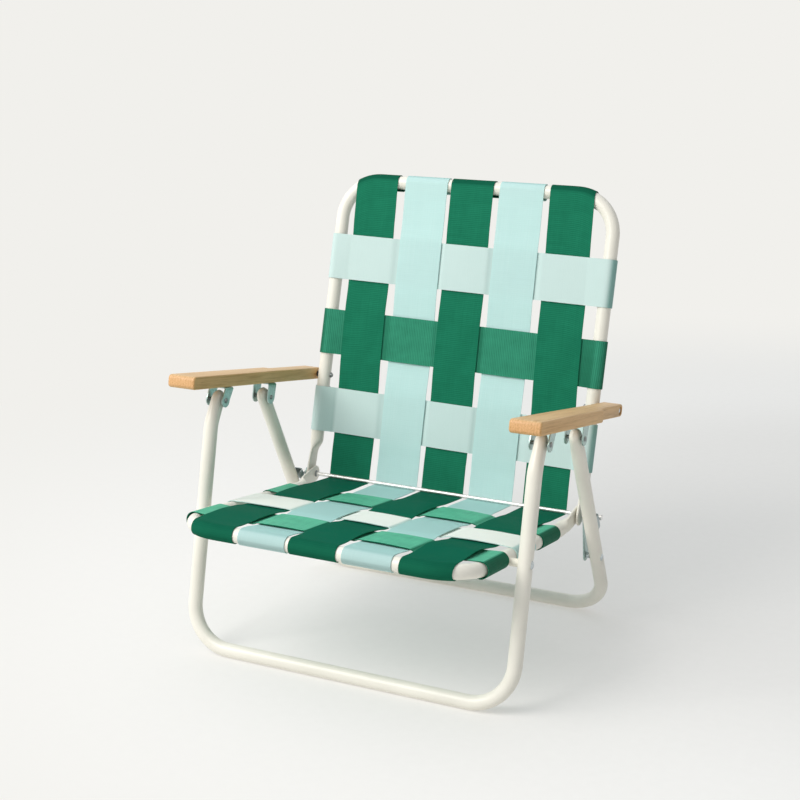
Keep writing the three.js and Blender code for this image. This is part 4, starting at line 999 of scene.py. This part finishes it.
def swell(run, centre, width, height):
    """A soft hump over one crossing."""
    t = (run - centre) / width
    return height * math.cos(math.pi / 2 * t) ** 2 if abs(t) < 1 else 0.0


def inside_frame(x, run, length, half_width):
    """0 at the tubes and 1 well inside the panel."""
    return ease(0, 60, run) * ease(0, 60, length - run) * ease(0, 70, half_width - abs(x))


def seat_ripple(x, run):
    """Shared slack of the seat panel."""
    ripple = math.sin(0.021 * x + 0.6) * math.sin(0.019 * run)
    return inside_frame(x, run, SEAT_RUN, SEAT_X) * (ripple - PANEL_SAG)


def back_ripple(x, run):
    """Shared slack of the back panel."""
    ripple = 0.8 * math.sin(0.018 * x + 1.1) * math.sin(0.016 * run + 0.5)
    return inside_frame(x, run, BACK_LENGTH, BACK_X) * (ripple - PANEL_SAG)


def bend_drop(x, half_width):
    """How far a hoop's bar has turned down at x, and the stretch of its section there."""
    past = abs(x) - (half_width - FRAME_BEND)
    if past <= 0:
        return 0.0, 1.0
    turn = math.asin(min(past / FRAME_BEND, 0.9))
    return FRAME_BEND * (1 - math.cos(turn)), 1 / math.cos(turn)


def long_strap_path(x, number):
    """Points of a long strap at one place across it, from its front tail to its top tail."""
    lift_over = parity(number) * WEAVE_LIFT
    seat_cross = [(run, WIDTH, lift_over * ODD_OVER_SEAT[row]) for row, run in SEAT_RUNS.items()]
    back_cross = [(run, WIDTH, lift_over * ODD_OVER_BACK[row]) for row, run in BACK_RUNS.items()]
    path = []
    drop, stretch = bend_drop(x, SEAT_X)
    bar = SEAT_BAR + SEAT_REAR * drop
    for i in range(WRAP_STEPS + 1):
        angle = math.pi / 2 + STRAP_WRAP * (1 - i / WRAP_STEPS)
        reach = SEAT_REAR * (math.cos(angle) * stretch) + SEAT_UP * math.sin(angle)
        path.append(bar + reach * STRAP_ON_TUBE)
    start = bar + SEAT_UP * STRAP_ON_TUBE
    stop = CORNER - SEAT_REAR * CORNER_REACH
    for i in range(1, SEAT_STEPS + 1):
        point = start.lerp(stop, i / SEAT_STEPS)
        run = (HINGE - point).dot(SEAT_REAR)
        lift = held_lift(run, seat_cross) + seat_ripple(x, run)
        for row, centre in SEAT_RUNS.items():
            if lift_over * ODD_OVER_SEAT[row] > 0:
                height = FRONT_SWELL[number] if row == "front" else SEAT_SWELL
                lift += swell(run, centre, LONG_SWELL_REACH, height)
        path.append(point + SEAT_UP * lift)
    centre = stop + SEAT_UP * CORNER_RADIUS
    for i in range(1, CORNER_STEPS):
        angle = CORNER_ANGLE * i / CORNER_STEPS
        facing = SEAT_UP * math.cos(angle) - SEAT_REAR * math.sin(angle)
        path.append(centre - facing * CORNER_RADIUS)
    drop, stretch = bend_drop(x, BACK_X)
    bar = BACK_BAR - BACK_UP * drop
    start = CORNER + STRAP_UP * CORNER_REACH
    stop = bar + STRAP_FACE * STRAP_ON_TUBE
    for i in range(BACK_STEPS + 1):
        point = start.lerp(stop, i / BACK_STEPS)
        run = (point - HINGE).dot(STRAP_UP)
        lift = held_lift(run, back_cross) + back_ripple(x, run)
        path.append(point + STRAP_FACE * lift)
    for i in range(1, WRAP_STEPS + 1):
        angle = STRAP_WRAP * i / WRAP_STEPS
        reach = STRAP_FACE * math.cos(angle) + STRAP_UP * (math.sin(angle) * stretch)
        slack = TAIL_SLACK * ease(WRAP_STEPS - 14, WRAP_STEPS, i)
        path.append(bar + reach * (STRAP_ON_TUBE + slack))
    return path


def strap_piece(name, width, column, material, body, nodes, slot_name):
    """Stores a strap, with a UV in metres along and across it.

    column(across) gives the points along the strap at a distance from its middle.
    """
    places = [width * (j / STRAP_COLUMNS - 0.5) for j in range(STRAP_COLUMNS + 1)]
    columns = [column(across) for across in places]
    bm, index = grid_sheet(len(columns[0]) - 1, STRAP_COLUMNS, lambda i, j: columns[j][i])
    middle = columns[STRAP_COLUMNS // 2]
    length = [0.0]
    for a, b in zip(middle, middle[1:]):
        length.append(length[-1] + (b - a).length)
    layer = bm.loops.layers.uv.new("strap")
    for face in bm.faces:
        for loop in face.loops:
            i, j = index[loop.vert]
            loop[layer].uv = (length[i] * MM, places[j] * MM)
    piece = store(name, bm, material, body, nodes, slot_name, 80)
    thicken(piece, STRAP_THICKNESS)
    return piece


def long_strap(number):
    front, middle, top = LONG_STRAPS[number]

    def column(across):
        paths = [long_strap_path(x + across, number) for x in LONG_STRAPS[number]]
        last = len(paths[0]) - 1
        points = []
        for i, (at_front, at_middle, at_top) in enumerate(zip(*paths)):
            if i < CORNER_ROW:
                t = i / CORNER_ROW
                point = at_front.lerp(at_middle, t)
                x = front + (middle - front) * t
            else:
                t = (i - CORNER_ROW) / (last - CORNER_ROW)
                point = at_middle.lerp(at_top, t)
                x = middle + (top - middle) * t
            x += TAIL_SLIP.get(number, 0.0) * ease(last - 25, last - 9, i)
            points.append(beside(x + across, point))
        return points

    dark_look = (DARK_WEB, "dark_green_webbing")
    material, slot_name = dark_look if number % 2 else (MINT_WEB, "mint_webbing")
    name = f"long_strap_{number}"
    nodes = [f"back_strap_{number}", f"seat_strap_{number}"]
    piece = strap_piece(name, long_width(number), column, material, None, nodes, slot_name)
    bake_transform(piece)


def passed_straps(odd_over, ends, share):
    """The long straps that a cross strap passes: (middle, width, lift of the cross strap)."""
    passed = []
    for number, places in LONG_STRAPS.items():
        start, end = places[ends]
        middle = start + (end - start) * share
        passed.append((middle, long_width(number), -odd_over * parity(number) * WEAVE_LIFT))
    return passed


def wrapped_cross(tube_x, tube_lift, crossings, ripple, run, bulge):
    """Points (x, lift) of a cross strap: round one tube, over the panel, round the other."""
    def on_tube(angle):
        x = tube_x + STRAP_ON_TUBE * math.cos(angle)
        return x, tube_lift + STRAP_ON_TUBE * math.sin(angle)

    def strap_end(sign, outermost):
        """Where the panel ends, and the points from there to the tail."""
        centre, width, lift = outermost
        start_x = abs(centre + sign * (width / 2 + 1.5))
        dx = start_x - tube_x
        dn = lift - tube_lift
        angle = math.atan2(dn, dx) - math.acos(min(STRAP_ON_TUBE / math.hypot(dx, dn), 1.0))
        touch_x, touch_lift = on_tube(angle)
        points = []
        for i in range(1, BAND_FREE_STEPS + 1):
            t = i / BAND_FREE_STEPS
            points.append((start_x + (touch_x - start_x) * t, lift + (touch_lift - lift) * t))
        for i in range(1, BAND_WRAP_STEPS + 1):
            points.append(on_tube(angle - STRAP_WRAP * i / BAND_WRAP_STEPS))
        return sign * start_x, [(sign * x, n) for x, n in points]

    left_start, left = strap_end(1, crossings[-1])
    right_start, right = strap_end(-1, crossings[0])
    panel = []
    for i in range(BAND_STEPS + 1):
        x = right_start + (left_start - right_start) * i / BAND_STEPS
        lift = held_lift(min(max(x, crossings[0][0]), crossings[-1][0]), crossings)
        for centre, _, height in crossings:
            if height > 0:
                lift += swell(x, centre, BAND_SWELL_REACH, bulge)
        panel.append((x, lift + ripple(x, run)))
    return right[::-1] + panel + left


def back_band(name, material, slot_name):
    base = HINGE - STRAP_FACE * STRAP_TO_ROD

    def column(across):
        run = BACK_RUNS[name] + across
        crossings = passed_straps(ODD_OVER_BACK[name], BACK_ENDS, run / BACK_RUN)
        tube_lift = STRAP_TO_ROD - (STRAP_ON_TUBE + STRAP_TO_ROD) * run / BACK_LENGTH
        points = wrapped_cross(BACK_X, tube_lift, crossings, back_ripple, run, BACK_BAND_SWELL)
        return [
            beside(x, base + STRAP_UP * (run + BACK_CROSS_SKEW * x) + STRAP_FACE * lift)
            for x, lift in points
        ]

    nodes = ["back_cross_" + name]
    strap_piece("back_band_" + name, WIDTH, column, material, "back", nodes, slot_name)


def seat_band(name, material, slot_name):
    base = HINGE + SEAT_UP * ((SEAT_BAR - HINGE).dot(SEAT_UP) + STRAP_ON_TUBE)

    def column(across):
        run = SEAT_RUNS[name] + across
        crossings = passed_straps(ODD_OVER_SEAT[name], SEAT_ENDS, 1 - run / SEAT_RUN)
        points = wrapped_cross(SEAT_X, -STRAP_ON_TUBE, crossings, seat_ripple, run, SEAT_BAND_SWELL)
        return [beside(x, base - SEAT_REAR * run + SEAT_UP * lift) for x, lift in points]

    nodes = ["seat_cross_" + name]
    strap_piece("seat_band_" + name, WIDTH, column, material, "seat", nodes, slot_name)


# Stage, in metres

BACKDROP = srgb(241, 240, 236)
FLOOR_HALF = 12.0
SHADED_SPOT = (0.6, 1.0, 0.0)
KEY_SPOT = Vector((-1.55, -2.0, 2.55))
KEY_TARGET = Vector((0, 0.25, 0.4))
KEY_POWER = 90
KEY_SIZE = 1.9
CAMERA_SPOT = (0.97214, -1.85044, 0.99956)
CAMERA_YAW = 0.4443
CAMERA_PITCH = 0.2627
CAMERA_ROLL = 0.0053
SENSOR_WIDTH = 36.0
LENS_LENGTH = 68.33


def pale_floor():
    """Matt paper that fades into the backdrop away from the chair."""
    shade = Shading("pale_floor")
    place = shade.coordinate("Object")
    sources = {0: place, 1: SHADED_SPOT}
    far = shade.add("ShaderNodeVectorMath", sources, operation="DISTANCE").outputs["Value"]
    grain = shade.noise(place, 60.0, 3.0)
    tone = shade.ramp(grain, 0.3, 0.7, (0.87, 0.855, 0.83), (0.89, 0.875, 0.85))
    # Painted shadow: the paper is darkened by up to 14 per cent within 0.6 m of the shaded spot,
    # fading out by 1.1 m.
    tone = shade.mix(shade.remap(far, 0.6, 1.1, 0.14, 0.0), tone, (0.0, 0.0, 0.0))
    shade.finish(Base_Color=tone, Roughness=0.9, Specular_IOR_Level=0.1)
    paper = shade.add("ShaderNodeEmission", {"Color": (*BACKDROP, 1), "Strength": 1.0})
    fade = shade.remap(far, 0.95, 2.1, 0.42, 1.0)
    shade.show_mix("Material Output", fade, shade.surface, paper)
    return shade.material


def studio_floor():
    bm = bmesh.new()
    bmesh.ops.create_grid(bm, x_segments=1, y_segments=1, size=FLOOR_HALF)
    floor = drawn_object("floor", bm)
    floor.data.materials.append(pale_floor())


def surroundings():
    """Soft light, stronger from the picture's left and above; the backdrop is seen."""
    world = bpy.data.worlds.new("studio")
    bpy.context.scene.world = world
    world.use_nodes = True
    tree = NodeTree(world.node_tree)
    way = tree.add("ShaderNodeTexCoord").outputs["Generated"]
    split = tree.add("ShaderNodeSeparateXYZ", {"Vector": way})
    from_side = tree.remap(split.outputs["X"], -1.0, 1.0, 0.95, 0.18, "LINEAR")
    overhead = tree.remap(split.outputs["Z"], 0.0, 1.0, 0.75, 1.6, "LINEAR")
    fill = tree.nodes["Background"]
    tree.feed(fill.inputs["Color"], (0.90, 0.95, 1.0, 1))
    tree.feed(fill.inputs["Strength"], tree.math("MULTIPLY", from_side, overhead))
    seen = tree.add("ShaderNodeBackground", {"Color": (*BACKDROP, 1)})
    path = tree.add("ShaderNodeLightPath")
    seeing = path.outputs["Is Camera Ray"]
    for other in ("Is Glossy Ray", "Is Transmission Ray"):
        seeing = tree.math("MAXIMUM", seeing, path.outputs[other])
    tree.show_mix("World Output", seeing, fill, seen)


def window_light():
    light = bpy.data.lights.new("window_key", "AREA")
    light.energy = KEY_POWER
    light.size = KEY_SIZE
    light.color = (1.0, 0.975, 0.94)
    turn = (KEY_TARGET - KEY_SPOT).to_track_quat("-Z", "Y").to_matrix().to_4x4()
    new_object("window_key", light).matrix_world = Matrix.Translation(KEY_SPOT) @ turn


def view():
    place = Matrix.Translation(CAMERA_SPOT)
    for angle, axis in ((CAMERA_YAW, "Z"), (math.pi / 2 - CAMERA_PITCH, "X"), (CAMERA_ROLL, "Z")):
        place = place @ Matrix.Rotation(angle, 4, axis)
    lens = bpy.data.cameras.new("camera")
    lens.sensor_width = SENSOR_WIDTH
    lens.lens = LENS_LENGTH
    camera = new_object("camera", lens)
    camera.matrix_world = place
    bpy.context.scene.camera = camera
    bpy.context.scene.view_settings.view_transform = "Standard"


front_legs()
rear_legs()
back_hoop()
seat_hoop()
hinge_rod()
for hand, hand_word in SIDES:
    arm(hand, hand_word)
    arm_fastening(hand, hand_word)
    clevis(hand, hand_word, "front", FRONT_LEG_PIVOT, FRONT_LEG_X, plate_top=20.3, lean=9)
    clevis(hand, hand_word, "rear", REAR_LEG_PIVOT, REAR_LEG_X, plate_top=23.0, lean=2)
    seat_pivot(hand, hand_word)
    link(hand, hand_word)
    rod_catch(hand, hand_word)
for strap_number in LONG_STRAPS:
    long_strap(strap_number)
back_band("bottom", MINT_BAND_WEB, "mint_webbing")
back_band("middle", MID_WEB, "mid_green_webbing")
back_band("top", MINT_BAND_WEB, "mint_webbing")
seat_band("rear", SEAT_GREEN_WEB, "mid_green_webbing")
seat_band("middle", PALE_WEB, "pale_webbing")
seat_band("front", SEAT_GREEN_WEB, "mid_green_webbing")
studio_floor()
surroundings()
window_light()
view()
